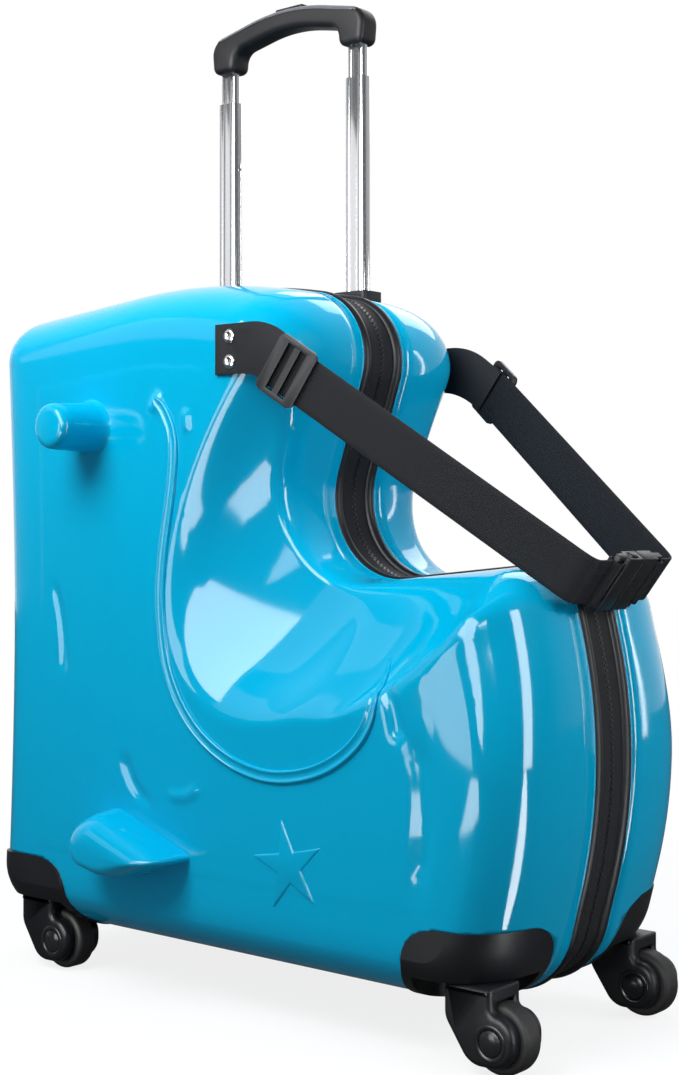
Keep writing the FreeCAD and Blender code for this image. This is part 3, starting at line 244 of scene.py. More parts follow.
drift_group, start, end = group_tree(
    "colour_drift", {"Light": (1.0, 1.0, 1.0, 1.0), "Dark": (0.9, 0.9, 0.9, 1.0), "Scale": 6.0},
    {"Color": "NodeSocketColor"})
spot = shade(drift_group, "TexCoord").outputs["Object"]
cloud = shade(drift_group, "TexNoise", {"Vector": spot, "Scale": start.outputs["Scale"], "Detail": 3.0})
tone = shade(drift_group, "Mix", {0: cloud.outputs["Fac"], 6: start.outputs["Dark"],
                                  7: start.outputs["Light"]}, data_type="RGBA")
feed(drift_group, end, {"Color": tone.outputs[2]})

grain_group, start, end = group_tree(
    "mould_grain", {"Scale": 900.0, "Smooth": 0.3, "Rough": 0.5},
    {"Height": "NodeSocketFloat", "Roughness": "NodeSocketFloat"})
spot = shade(grain_group, "TexCoord").outputs["Object"]
pits = shade(grain_group, "TexNoise", {"Vector": spot, "Scale": start.outputs["Scale"], "Detail": 2.0})
wear = shade(grain_group, "TexNoise", {"Vector": spot, "Scale": 14.0, "Detail": 4.0})
polish = shade(grain_group, "MapRange", {"Value": wear.outputs["Fac"], "From Min": 0.3, "From Max": 0.7,
                                         "To Min": start.outputs["Smooth"],
                                         "To Max": start.outputs["Rough"]})
feed(grain_group, end, {"Height": pits.outputs["Fac"], "Roughness": polish.outputs[0]})
print("groups:", drift_group.name, grain_group.name)


# %% Moulded plastics
def finish(name, light, dark, drift, grain, smooth, rough, bump, specular=0.5, metallic=0.0):
    """Principled finish with drifting colour and a grain in roughness and bump."""
    made = bpy.data.materials.new(name)
    made.use_nodes = True
    tree = made.node_tree
    colour = shade(tree, "Group", {"Light": (*light, 1), "Dark": (*dark, 1), "Scale": drift},
                   node_tree=drift_group)
    pits = shade(tree, "Group", {"Scale": grain, "Smooth": smooth, "Rough": rough}, node_tree=grain_group)
    dent = shade(tree, "Bump", {"Height": pits.outputs["Height"], "Distance": 0.1 * MM, "Strength": bump})
    feed(tree, tree.nodes["Principled BSDF"], {
        "Base Color": colour.outputs["Color"], "Roughness": pits.outputs["Roughness"],
        "Normal": dent.outputs["Normal"], "Specular IOR Level": specular, "Metallic": metallic})
    made.diffuse_color = (*light, 1)
    return made


shell_gloss = finish("shell_gloss", (0.0, 0.48, 0.77), (0.0, 0.45, 0.74), 4, 60, 0.05, 0.09, 0.02,
                     specular=0.45)
satin_black = finish("satin_black", (0.012, 0.014, 0.018), (0.008, 0.009, 0.012), 12, 1400, 0.34, 0.48,
                     0.25, specular=0.35)
grip_black = finish("grip_black", (0.014, 0.014, 0.017), (0.009, 0.009, 0.011), 18, 1800, 0.38, 0.5, 0.3,
                    specular=0.35)
tyre_rubber = finish("tyre_rubber", (0.020, 0.020, 0.021), (0.010, 0.010, 0.011), 30, 700, 0.55, 0.72, 0.6)
dark_gloss = finish("dark_gloss", (0.03, 0.03, 0.033), (0.02, 0.02, 0.022), 20, 500, 0.16, 0.26, 0.1)
bright_tube = finish("bright_tube", (0.86, 0.87, 0.89), (0.80, 0.81, 0.83), 9, 1200, 0.08, 0.13, 0.03,
                     metallic=0.9)
zinc_steel = finish("zinc_steel", (0.66, 0.66, 0.67), (0.52, 0.52, 0.54), 40, 900, 0.22, 0.38, 0.3,
                    metallic=1.0)
rivet_chrome = finish("rivet_chrome", (0.88, 0.88, 0.89), (0.78, 0.78, 0.80), 60, 600, 0.08, 0.16, 0.1,
                      metallic=1.0)
black_cloth = finish("black_cloth", (0.014, 0.015, 0.019), (0.009, 0.010, 0.013), 25, 1500, 0.6, 0.8, 0.8,
                     specular=0.2)
# Lighter and smoother than the grip: a painted highlight for the light on the grip's upward rims, partly a
# polished finish
grip_painted_highlight = finish("grip_painted_highlight", (0.16, 0.17, 0.18), (0.13, 0.135, 0.145), 20, 700, 0.22, 0.32, 0.1)
FINISH_OF = {
    "shell": shell_gloss, "band": satin_black, "tape": black_cloth, "zip": satin_black,
    "zip_metal": satin_black, "housing": satin_black, "caster": satin_black, "hub": dark_gloss,
    "tyre": tyre_rubber, "steel": zinc_steel, "webbing": black_cloth, "buckle": satin_black,
    "rivet": rivet_chrome, "sleeve": satin_black, "tube": bright_tube, "grip": grip_black,
}
for part in frame["record"]["subparts"]:
    slots = nodes[part["node"]].data.materials
    slots.clear()
    slots.append(FINISH_OF[part["material_slot"]])
print(len(FINISH_OF), "slots dressed")

# %% [markdown]
# ## Making pieces
# Every piece is drawn as a bmesh, turned into an object with a finish, and set to ride on a body of the
# frame. Most pieces come in pairs, one on each half of the case. The steps that they share are written
# once here: a row of edges that grows, rolled rims, turned forms, and cuts.


# %% Mesh steps
def verts_of(geom):
    return [item for item in geom if isinstance(item, bmesh.types.BMVert)]


def grown(bm, edges):
    """Draws out a row of edges; gives the new points and the new row."""
    geom = bmesh.ops.extrude_edge_only(bm, edges=edges)["geom"]
    verts = verts_of(geom)
    row = [item for item in geom
           if isinstance(item, bmesh.types.BMEdge) and all(vert in verts for vert in item.verts)]
    return verts, row


def outward(bm):
    """Turns all faces outward."""
    bmesh.ops.recalc_face_normals(bm, faces=bm.faces[:])
    return bm


def on_side(bm, side):
    """Mirrors what was drawn for the near side if the far side is meant."""
    if side > 0:
        bmesh.ops.scale(bm, vec=(1, -1, 1), verts=bm.verts[:])
        bmesh.ops.reverse_faces(bm, faces=bm.faces[:])
    return bm


def roll_edges(bm, edges, width, segments, clamp=False):
    """Rolls edges over, to a width in millimetres."""
    bmesh.ops.bevel(bm, geom=edges, offset=width * MM, segments=segments, profile=0.5, affect="EDGES",
                    material=-1, clamp_overlap=clamp)


def turned(profile, axis_spot, axis, steps):
    """Solid of revolution: profile points as radius and place along the axis, in millimetres."""
    bm = bmesh.new()
    axis = Vector(axis)
    side = axis.orthogonal().normalized()
    verts = [bm.verts.new(axis_spot + side * (radius * MM) + axis * (along * MM))
             for radius, along in profile]
    edges = [bm.edges.new(pair) for pair in zip(verts, verts[1:])]
    bmesh.ops.spin(bm, geom=verts + edges, cent=axis_spot, axis=axis, angle=2 * math.pi, steps=steps,
                   use_merge=True)
    bmesh.ops.remove_doubles(bm, verts=bm.verts[:], dist=0.005 * MM)
    return outward(bm)


def tree_of(spots):
    """Search tree over points, numbered in their order."""
    tree = KDTree(len(spots))
    for number, spot in enumerate(spots):
        tree.insert(spot, number)
    tree.balance()
    return tree


print("mesh steps ready")

# %% Pieces and cuts
SIDES = (("near", -1), ("far", 1))


def mesh_of(name, bm):
    """Mesh of a finished bmesh, smooth shaded."""
    for face in bm.faces:
        face.smooth = True
    mesh = bpy.data.meshes.new(name)
    bm.to_mesh(mesh)
    bm.free()
    return mesh


def joined(parts):
    """One bmesh of several."""
    whole = bmesh.new()
    for part in parts:
        whole.from_mesh(mesh_of("part", part))
    return whole


def add_piece(name, bm, body, look, slot, *replaced):
    """New object of a bmesh, riding on a body, with a finish."""
    mesh = mesh_of(name, bm)
    mesh.materials.append(look)
    piece = linked(name, mesh)
    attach(piece, body)
    if replaced:
        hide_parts(*replaced)
    return piece


def add_pair(name, make, look, slot, *replaced):
    """A piece on each half of the case; make draws it for one side."""
    pieces = []
    for side_name, side in SIDES:
        gone = [side_name + node for node in replaced]
        pieces.append(add_piece(side_name + name, make(side), side_name + "_half", look, slot, *gone))
    return pieces


def carve(piece, tools):
    """Cuts meshes out of a piece and puts the result of all its modifiers into its mesh."""
    cutters = []
    for tool in tools:
        cutter = linked("cutter", mesh_of("cutter", tool))
        cut = piece.modifiers.new("cut", "BOOLEAN")
        cut.object = cutter
        cut.solver = "EXACT"
        cutters.append(cutter)
    bpy.context.view_layer.update()
    look = piece.data.materials[0]
    solid = piece.evaluated_get(bpy.context.evaluated_depsgraph_get())
    piece.data = bpy.data.meshes.new_from_object(solid)
    piece.data.materials.clear()
    piece.data.materials.append(look)
    piece.modifiers.clear()
    for cutter in cutters:
        bpy.data.objects.remove(cutter)


print("piece helpers ready")

# %% [markdown]
# ## The half shells
# Each half is one injection moulding: a wall that rises from the zip band and rolls over into a flat side
# face, with a deep scoop beside the saddle for the rider's leg. A loft gives such a wall but not the soft
# change from face to scoop. So the outline is spun corner by corner, its face is inset ring by ring, the
# cap is cut into a fine grid, and every vertex is then lifted to the height that the wall, the scoop and
# the ridges have at its place.

# %% Outline of the case
trim_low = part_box("near_trim")[0]
TRIM_PROUD = 2 * MM
CASE_LEFT = trim_low.x + TRIM_PROUD
CASE_LOW = trim_low.z + TRIM_PROUD
# Corners from the tall end: place along the case, height over its underside and radius, in millimetres
CORNERS = (
    (0, 0, 50), (3, 257, 2000), (0, 514, 44), (222, 535, 480), (359, 512, 55),
    (284, 286, 64), (529, 311, 38), (562.5, 164, 380), (519, 0, 60),
)
ARC_STEP = 4 * MM
FULLEST = 0.98


def place(along, height, out=0.0):
    """Point of the near half: along the case, over its underside and out from the zip, in millimetres."""
    return Vector((CASE_LEFT + along * MM, -out * MM, CASE_LOW + height * MM))


def rounded_ring(bm, spots, radii, step):
    """Closed ring of edges through points of one XZ plane, each corner spun to its radius."""
    count = len(spots)
    befores = [(spots[here - 1] - spots[here]).normalized() for here in range(count)]
    afters = [(spots[(here + 1) % count] - spots[here]).normalized() for here in range(count)]
    halves = [before.angle(after) / 2 for before, after in zip(befores, afters)]
    runs = [radius / math.tan(half) for radius, half in zip(radii, halves)]
    for here in range(count):
        after = (here + 1) % count
        room = (spots[after] - spots[here]).length
        taken = runs[here] + runs[after]
        if taken > room:
            runs[here] *= FULLEST * room / taken
            runs[after] *= FULLEST * room / taken
    ends = []
    for here, spot in enumerate(spots):
        radius = runs[here] * math.tan(halves[here])
        middle = (befores[here] + afters[here]).normalized()
        sweep = math.pi - 2 * halves[here]
        if befores[here].cross(afters[here]).y > 0:
            sweep = -sweep
        first = bm.verts.new(spot + befores[here] * runs[here])
        steps = max(4, round(radius * abs(sweep) / step))
        arc = bmesh.ops.spin(bm, geom=[first], cent=spot + middle * (radius / math.sin(halves[here])),
                             axis=(0, 1, 0), angle=sweep, steps=steps)
        ends.append((first, verts_of(arc["geom_last"])[0]))
    straights = [bm.edges.new((ends[here][1], ends[(here + 1) % count][0])) for here in range(count)]
    for straight in straights:
        cuts = round(straight.calc_length() / step) - 1
        if cuts > 0:
            bmesh.ops.subdivide_edges(bm, edges=[straight], cuts=cuts)


def case_ring(bm, step=ARC_STEP):
    """The case's outline on the parting plane."""
    spots = [place(along, height) for along, height, radius in CORNERS]
    rounded_ring(bm, spots, [radius * MM for along, height, radius in CORNERS], step)


def case_points(inset):
    """Points of the outline in order, drawn in by some millimetres."""
    bm = bmesh.new()
    case_ring(bm)
    face = bmesh.ops.contextual_create(bm, geom=bm.edges[:])["faces"][0]
    bmesh.ops.inset_region(bm, faces=[face], thickness=inset * MM, use_even_offset=True, use_boundary=True)
    spots = [vert.co.copy() for vert in face.verts]
    bm.free()
    return spots


bm = bmesh.new()
case_ring(bm, ARC_STEP / 4)
rim = [vert.co.copy() for vert in bm.verts]
bm.free()
rim_tree = tree_of(rim)
print("outline of", len(rim), "points, up to", round(max(spot.z for spot in rim), 4), "m")


# %% Smooth routes
def route(spots, radius=0.0, shares=None, closed=False, fine=8, section=()):
    """Bmesh of a smooth spline with these control points: a line, a round bar, or a bar with a section."""
    curve = bpy.data.curves.new("route", "CURVE")
    curve.dimensions = "3D"
    curve.bevel_depth = radius * MM
    curve.bevel_resolution = 4
    curve.use_fill_caps = True
    if section:
        edge = bpy.data.curves.new("section", "CURVE")
        line = edge.splines.new("POLY")
        line.points.add(len(section) - 1)
        for point, (across, out) in zip(line.points, section):
            point.co = (out * MM, across * MM, 0, 1)
        line.use_cyclic_u = True
        shape = linked("section", edge)
        curve.bevel_mode = "OBJECT"
        curve.bevel_object = shape
    spline = curve.splines.new("NURBS")
    spline.points.add(len(spots) - 1)
    for point, spot, share in zip(spline.points, spots, shares or [1] * len(spots)):
        point.co = (*spot, 1)
        point.radius = share
    spline.order_u = 3
    spline.use_endpoint_u = not closed
    spline.use_cyclic_u = closed
    spline.resolution_u = fine
    bar = linked("route", curve)
    bpy.context.view_layer.update()
    mesh = bpy.data.meshes.new_from_object(bar.evaluated_get(bpy.context.evaluated_depsgraph_get()))
    bpy.data.objects.remove(bar)
    if section:
        bpy.data.objects.remove(shape)
    bm = bmesh.new()
    bm.from_mesh(mesh)
    return bm


bm = route([place(0, 0), place(9, 4), place(20, 0)])
print("route of", len(bm.verts), "points")

# %% Heights of the moulding
ZIP_HALF = 24.5
SIDE_REACH = 125.0
CROWN_ROLL = 70.0
CROWN_POWER = 3.2
CROWN_FULLNESS = 0.975
CROWN_SOFT = 0.05
SCOOP_MIDDLE = place(420, 389)
SCOOP_TILT = math.radians(46)
SCOOP_LONG = 263.8
SCOOP_SHORT = 140.3
SCOOP_THICK = 110.0
SCOOP_FLOOR = 175.0
SCOOP_RIM_RISE = 200.0


def soft_min(first, second, soft):
    """The lesser of two heights, rounded where they meet."""
    share = max(soft - abs(first - second), 0) / soft
    return min(first, second) - share * share * soft / 4


def ramp(value, low, high):
    share = min(max((value - low) / (high - low), 0), 1)
    return share * share * (3 - 2 * share)


def crown_height(inset):
    """Height of the rolled wall over the parting plane, by the distance in from the outline."""
    if inset >= CROWN_ROLL:
        return SIDE_REACH
    level = (1 - (1 - inset / CROWN_ROLL) ** CROWN_POWER) ** (1 / CROWN_POWER) / CROWN_FULLNESS
    return ZIP_HALF + (SIDE_REACH - ZIP_HALF) * soft_min(level, 1, CROWN_SOFT)


def scoop_height(spot):
    """Height of the scoop's floor: an ellipsoid laid aslant by the saddle, rising on outside its rim."""
    across = (spot - SCOOP_MIDDLE) / MM
    long = across.x * math.cos(SCOOP_TILT) + across.z * math.sin(SCOOP_TILT)
    short = across.z * math.cos(SCOOP_TILT) - across.x * math.sin(SCOOP_TILT)
    left = 1 - (long / SCOOP_LONG) ** 2 - (short / SCOOP_SHORT) ** 2
    if left < 0:
        return SCOOP_FLOOR - SCOOP_RIM_RISE * left
    return SCOOP_FLOOR - SCOOP_THICK * math.sqrt(left)


# Creases and swells: depth or rise, half width and route, along the case and over its underside
RELIEF = (
    (-2.2, 7, ((86, 297), (93, 282), (101, 255), (103, 226), (101, 208))),
    (-2.4, 8, ((175, 160), (178, 149), (185, 135), (196, 123), (217, 113))),
    (1.8, 7, ((221, 128), (239, 127), (252, 130), (265, 140))),
    (-3.0, 9, ((438, 232), (447, 216), (452, 196), (455, 184))),
    (-2.4, 13, ((457, 208), (468, 188), (474, 170), (476, 145), (475, 114), (470, 87), (463, 58))),
    (2.2, 8, ((209, 424), (213, 436), (220, 440))),
    (1.6, 6, ((247, 408), (246, 418), (246, 428))),
)
RELIEF_INSET = 8
RELIEF_FADE = 0.25
relief_trees = []
for rise, half, spots in RELIEF:
    bm = route([place(*spot) for spot in spots])
    relief_trees.append((rise, half, len(bm.verts) - 1, tree_of([vert.co for vert in bm.verts])))
    bm.free()


def relief(spot):
    """Rise of the creases and swells at a point, fading out at their ends."""
    total = 0
    for rise, half, last, tree in relief_trees:
        number, distance = tree.find(spot)[1:]
        share = distance / MM / half
        if share < 1:
            fade = ramp(min(number, last - number) / last, 0, RELIEF_FADE)
            total += rise * fade * (1 - share * share) ** 2
    return total


HAUNCH_SWELL = 12.0
HAUNCH_REACH = 90.0
# The haunch comes in between these places along X and these heights, in metres
HAUNCH_ALONG = (0.08, 0.16)
HAUNCH_UP = (0.20, 0.30)
# Softness of the crease at the scoop: at the saddle, what is added at the nose, and where that comes in
CREASE_SOFT = 15
CREASE_SOFTER = 75
CREASE_ALONG = (0.06, 0.17)


def shell_height(spot, inset):
    """Height of the near moulding over a point of the parting plane, in millimetres."""
    soft = CREASE_SOFT + CREASE_SOFTER * ramp(spot.x, *CREASE_ALONG)
    wall = crown_height(inset)
    haunch = ramp(spot.x, *HAUNCH_ALONG) * ramp(spot.z, *HAUNCH_UP)
    level = (wall - ZIP_HALF) / (SIDE_REACH - ZIP_HALF)
    wall -= HAUNCH_SWELL * haunch * level * max(1 - inset / HAUNCH_REACH, 0) ** 2
    if inset > RELIEF_INSET:
        wall += relief(spot)
    return soft_min(wall, scoop_height(spot), soft)


print("scoop floor at its middle:", round(shell_height(SCOOP_MIDDLE, CROWN_ROLL), 1), "mm")

# %% Skin of one moulding
RING_STEPS = (0.05, 0.2, 0.5, 0.9, 1.4, 2.0, 2.7, 3.4, 4.1, 4.8, 5.5, 6.1)
GRID = 2.6 * MM
SHELL_WALL = 2.5 * MM
CAP = 1
# The tall end is hollow: most at the side face, hardly at the zip, and less and less along the case
BOW = 8 * MM
BOW_FADE = (0.02, 0.14)
COLUMN_HEIGHT = 514 * MM


def shell_skin(side):
    """Outer skin of one moulding, open towards the zip."""
    bm = bmesh.new()
    inset = bm.verts.layers.float.new("inset")
    case_ring(bm)
    cap = bmesh.ops.contextual_create(bm, geom=bm.edges[:])["faces"][0]
    total = 0
    for step in RING_STEPS:
        bmesh.ops.inset_region(bm, faces=[cap], thickness=step * MM, use_even_offset=True,
                               use_boundary=True)
        total += step
        for vert in cap.verts:
            vert[inset] = total
    cap.material_index = CAP
    low = Vector([min(vert.co[axis] for vert in cap.verts) for axis in range(3)])
    high = Vector([max(vert.co[axis] for vert in cap.verts) for axis in range(3)])
    for axis in (0, 2):
        normal = Vector((0, 0, 0))
        normal[axis] = 1
        for number in range(1, int((high[axis] - low[axis]) / GRID) + 1):
            plate = [face for face in bm.faces if face.material_index == CAP]
            geom = list({item for face in plate for item in (*face.verts, *face.edges)}) + plate
            bmesh.ops.bisect_plane(bm, geom=geom, plane_co=low + normal * GRID * number, plane_no=normal,
                                   dist=GRID / 1000)
    for vert in bm.verts:
        depth = vert[inset]
        if depth > total - RING_STEPS[0]:
            depth = rim_tree.find(vert.co)[2] / MM
        out = shell_height(vert.co, depth)
        share = (vert.co.z - CASE_LOW) / COLUMN_HEIGHT
        level = (out - ZIP_HALF) / (SIDE_REACH - ZIP_HALF)
        fade = 1 - ramp(vert.co.x - CASE_LEFT, *BOW_FADE)
        vert.co.x += BOW * level * fade * 4 * share * (1 - share)
        vert.co.y = -out * MM
    for face in bm.faces:
        face.material_index = 0
    outward(bm)
    if sum(face.normal.y * face.calc_area() for face in bm.faces) > 0:
        bmesh.ops.reverse_faces(bm, faces=bm.faces[:])
    return on_side(bm, side)


print("skin of", len(RING_STEPS), "rings and a grid of", GRID / MM, "mm")

# %% The two half shells
SWIVELS = {"column": 56, "nose": 503}
SWIVEL_OUT = 94
CORNER_REACH = 56
CORNER_TOP = 97.1
CORNER_ROUND = 24


def caster_spot(end, side):
    """Where a caster's swivel axis meets the floor."""
    return Vector((CASE_LEFT + SWIVELS[end] * MM, side * SWIVEL_OUT * MM, 0))


def corner_tool(end, side):
    """Room for a caster housing: a drum with a rounded top."""
    profile = [(0, 0), (CORNER_REACH, 0)]
    for turn in range(0, 91, 10):
        inward = 1 - math.cos(math.radians(turn))
        down = 1 - math.sin(math.radians(turn))
        profile.append((CORNER_REACH - CORNER_ROUND * inward, CORNER_TOP - CORNER_ROUND * down))
    profile.append((0, CORNER_TOP))
    return turned(profile, caster_spot(end, side), (0, 0, 1), 128)


shells = add_pair("_shell_skin", shell_skin, shell_gloss, "shell", "_shell")
for piece, (side_name, side) in zip(shells, SIDES):
    wall = piece.modifiers.new("wall", "SOLIDIFY")
    wall.thickness = SHELL_WALL
    wall.offset = -1
    carve(piece, [corner_tool(end, side) for end in SWIVELS])
    print(side_name, "shell", len(piece.data.polygons), "faces")

# %% [markdown]
# ## What is moulded on the side faces
# On the side faces stand the peg that the rider holds, the fin-shaped foot rest, a bead that runs round
# the scoop and a plain star. They belong to the shell, so they carry its gloss. A peg is a turned form.
# The foot rest is a leaf outline that is drawn out and shrinks. The bead is a flat section led along a
# smooth spline and draped on the skin, and the star is a ring of ten points with rolled edges.

# %% Hand pegs
PEG = (138, 416)
PEG_PROFILE = (
    (25, 123.6), (23.4, 124.9), (22.0, 126.2), (21.0, 128.0), (20.3, 131.0), (19.9, 135.0), (19.2, 148.0),
    (18.8, 160.0), (18.3, 165.4), (17.2, 168.6), (15.2, 170.4), (12.0, 171.0), (0, 171.0),
)
add_pair("_hand_peg", lambda side: turned(PEG_PROFILE, place(*PEG), (0, side, 0), 72), shell_gloss, "shell")
print("pegs", PEG_PROFILE[-1][1] - SIDE_REACH, "mm long")

# %% Foot rests
FOOT_ALONG = 139
FOOT_LOW = 58
FOOT_LONG = 122
FOOT_TALL = 56
FOOT_REACH = 38
FOOT_ROOT = 3
FOOT_STEP = 2.5 * MM
# Corners of the leaf and their radii, as shares of its length and its height
LEAF = ((0.0, 0.2, 0.42), (0.03, 0.84, 0.42), (0.24, 1.03, 0.5), (1.0, 0.42, 0.06), (0.42, -0.02, 0.9))
# The leaves shrink towards a point given by shares of the length and of the height
LEAF_PIVOT = (0.3, 0.34)
LEAST_LONG = 0.3
# Leaves from the shell outwards: share of the reach, of the length and of the height; the first is a flare
LEAVES = [(0.0, 1.05, 1.07)]
for degrees in (3, 10, 20, 30, 40, 50, 60, 68, 75, 80, 84, 87.5):
    shrink = math.sqrt(math.cos(math.radians(degrees)))
    LEAVES.append((math.sin(math.radians(degrees)), LEAST_LONG + (1 - LEAST_LONG) * shrink, shrink))


def leaf_spot(along, rise, out=0.0):
    return place(FOOT_ALONG + along * FOOT_LONG, FOOT_LOW + rise * FOOT_TALL, out)


def foot_rest(side):
    """A leaf drawn out from inside the shell, ring by ring."""
    bm = bmesh.new()
    spots = [leaf_spot(along, rise, SIDE_REACH - FOOT_ROOT) for along, rise, bend in LEAF]
    rounded_ring(bm, spots, [bend * FOOT_TALL * MM for along, rise, bend in LEAF], FOOT_STEP)
    pivot = Matrix.Translation(-leaf_spot(*LEAF_PIVOT))
    ring = bm.edges[:]
    for last, leaf in zip(LEAVES, LEAVES[1:]):
        verts, ring = grown(bm, ring)
        bmesh.ops.scale(bm, vec=(leaf[1] / last[1], 1, leaf[2] / last[2]), verts=verts, space=pivot)
        out = (leaf[0] - last[0]) * (FOOT_REACH + FOOT_ROOT)
        bmesh.ops.translate(bm, vec=(0, -out * MM, 0), verts=verts)
    bmesh.ops.contextual_create(bm, geom=ring)
    return on_side(outward(bm), side)


add_pair("_foot_rest", foot_rest, shell_gloss, "shell")
print("foot rests reach out", FOOT_REACH, "mm")

# %% Beads round the scoops
# Section of the bead, across and out: a flat band with a soft ridge along each edge
BEAD_SECTION = (
    (-5.0, -3.0), (-5.0, 0.4), (-4.6, 1.6), (-3.8, 2.3), (-2.9, 2.1), (-1.6, 1.1), (1.6, 1.1),
    (2.9, 2.1), (3.8, 2.3), (4.6, 1.6), (5.0, 0.4), (5.0, -3.0),
)
# Route of the bead on the side face: place along the case, height and share of the full section
BEAD_ROUTE = (
    (211, 440, 0.3), (216, 434, 0.8), (224, 425, 1), (234, 405, 1), (231, 365, 1), (221, 318, 1),
    (217, 275, 1), (226, 218, 1), (262, 172, 1), (322, 149, 1), (382, 158, 1), (424, 187, 1),
    (434, 222, 0.9), (428, 243, 0.3),
)


def bead(side):
    """The section led along its route and draped on the skin."""
    spots = [place(along, height, SIDE_REACH) for along, height, share in BEAD_ROUTE]
    shares = [share for along, height, share in BEAD_ROUTE]
    bm = route(spots, shares=shares, section=BEAD_SECTION)
    for vert in bm.verts:
        foot = Vector((vert.co.x, 0, vert.co.z))
        vert.co.y += (SIDE_REACH - shell_height(foot, rim_tree.find(foot)[2] / MM)) * MM
    bmesh.ops.remove_doubles(bm, verts=bm.verts[:], dist=0.001 * MM)
    return on_side(outward(bm), side)


add_pair("_scoop_bead", bead, shell_gloss, "shell")
print("beads of", len(BEAD_ROUTE), "route points")

# %% Stars
STAR = (352, 88)
STAR_RADIUS = 37
STAR_WAIST = 13
STAR_TURN = 101
STAR_RISE = 1.0
STAR_ROOT = 1.0
STAR_ROLL = 2.0


def star(side):
    """A ring of ten points, raised, with rolled edges."""
    bm = bmesh.new()
    upright = Matrix.Rotation(math.radians(90), 4, "X")
    ring = bmesh.ops.create_circle(bm, segments=10, radius=STAR_RADIUS * MM, matrix=upright,
                                   cap_ends=True)["verts"]
    for vert in ring[1::2]:
        vert.co *= STAR_WAIST / STAR_RADIUS
    first = math.degrees(math.atan2(ring[0].co.z, ring[0].co.x))
    spin = Matrix.Rotation(math.radians(first - STAR_TURN), 4, "Y")
    move = Matrix.Translation(place(*STAR, SIDE_REACH - STAR_ROOT)) @ spin
    bmesh.ops.transform(bm, matrix=move, verts=bm.verts[:])
    raised = verts_of(bmesh.ops.extrude_face_region(bm, geom=bm.faces[:])["geom"])
    bmesh.ops.translate(bm, vec=(0, -(STAR_RISE + STAR_ROOT) * MM, 0), verts=raised)
    edges = [edge for edge in bm.edges if any(vert in raised for vert in edge.verts)]
    roll_edges(bm, edges, STAR_ROLL, 3, clamp=True)
    return on_side(outward(bm), side)


add_pair("_star", star, shell_gloss, "shell")
print("stars", STAR_RISE, "mm proud")

# %% [markdown]
# ## The black band
# Between the shells runs a band of soft parts: a round piping along each rim, two zip tapes and the teeth of
# the zip. They all follow the same outline, so each is the outline drawn in a little and given a section.
# A thin rolled lip on the rim of each shell catches the light beside the piping. The hinge tape at the tall
# end is a fine grid of cloth.

# %% Pipings and rim lips
PIPE = {"inset": 3.0, "out": 19.5, "radius": 5.0}
LIP = {"inset": 1.2, "out": 25.2, "radius": 1.6}


def rim_bar(side, inset, out, radius):
    """Round bar along the whole outline of one half."""
    spots = [spot + Vector((0, side * out * MM, 0)) for spot in case_points(inset)]
    return route(spots, radius, closed=True, fine=1)


pipes = add_pair("_piping", lambda side: rim_bar(side, **PIPE), satin_black, "band", "_trim")
add_pair("_rim_lip", lambda side: rim_bar(side, **LIP), shell_gloss, "shell")
print("pipings of", len(pipes[0].data.polygons), "faces")

# %% Zip tapes
TAPE_INSET = 1.6
TAPE_ROWS = (0.9, 2.4, 4.4, 6.8, 9.6, 12.4, 15.0)
TAPE_THICK = 1.0


def zip_tape(side):
    """Strip along the outline, from the teeth to the piping."""
    bm = route(case_points(TAPE_INSET), closed=True, fine=1)
    bmesh.ops.translate(bm, vec=(0, side * TAPE_ROWS[0] * MM, 0), verts=bm.verts[:])
    ring = bm.edges[:]
    for low, high in zip(TAPE_ROWS, TAPE_ROWS[1:]):
        verts, ring = grown(bm, ring)
        bmesh.ops.translate(bm, vec=(0, side * (high - low) * MM, 0), verts=verts)
    outward(bm)
    bmesh.ops.solidify(bm, geom=bm.faces[:], thickness=TAPE_THICK * MM)
    return bm


tapes = add_pair("_tape", zip_tape, black_cloth, "tape", "_zip_tape")
print("tapes of", len(tapes[0].data.polygons), "faces")

# %% Zip teeth
TOOTH = Vector((1.5, 3.0, 1.9))
TOOTH_INSET = 2.2
TOOTH_OUT = 1.1
TOOTH_PITCH = 3.0


def zip_teeth(side):
    """A row of small blocks, each turned along the outline; the two rows interlock."""
    bm = bmesh.new()
    spots = case_points(TOOTH_INSET)
    first = 0 if side < 0 else 0.5
    out = Vector((0, side * TOOTH_OUT * MM, 0))
    size = Matrix.Diagonal((*(TOOTH * MM), 1))
    for here, after in zip(spots, spots[1:] + spots[:1]):
        way = after - here
        turn = Matrix.Rotation(-math.atan2(way.z, way.x), 4, "Y")
        steps = max(1, round(way.length / (TOOTH_PITCH * MM)))
        for step in range(steps):
            spot = here + way * ((step + first) / steps) + out
            bmesh.ops.create_cube(bm, size=1, matrix=Matrix.Translation(spot) @ turn @ size)
    return bm


rows = add_pair("_teeth", zip_teeth, satin_black, "zip", "_zip_teeth")
for row in rows:
    row.data.shade_flat()
print("teeth of", len(rows[0].data.polygons) // 6, "blocks a side")

# %% Hinge tape
HINGE_ROWS = 12
HINGE_COLUMNS = 20
low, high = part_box("hinge_tape")
bm = bmesh.new()
turn = Matrix.Rotation(math.radians(90), 4, "Y")
middle = Matrix.Translation(((low.x + high.x) / 2, 0, (low.z + high.z) / 2))
spread = Matrix.Diagonal(((high.z - low.z) / 2, (high.y - low.y) / 2, 1, 1))
bmesh.ops.create_grid(bm, x_segments=HINGE_COLUMNS, y_segments=HINGE_ROWS, size=1,
                      matrix=middle @ turn @ spread)
bmesh.ops.solidify(bm, geom=bm.faces[:], thickness=TAPE_THICK * MM)
outward(bm)
hinge = linked("hinge_cloth", mesh_of("hinge_cloth", bm))
hinge.data.materials.append(black_cloth)
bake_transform(hinge)
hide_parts("hinge_tape")
print("hinge tape", round((high.z - low.z) / MM), "mm long")

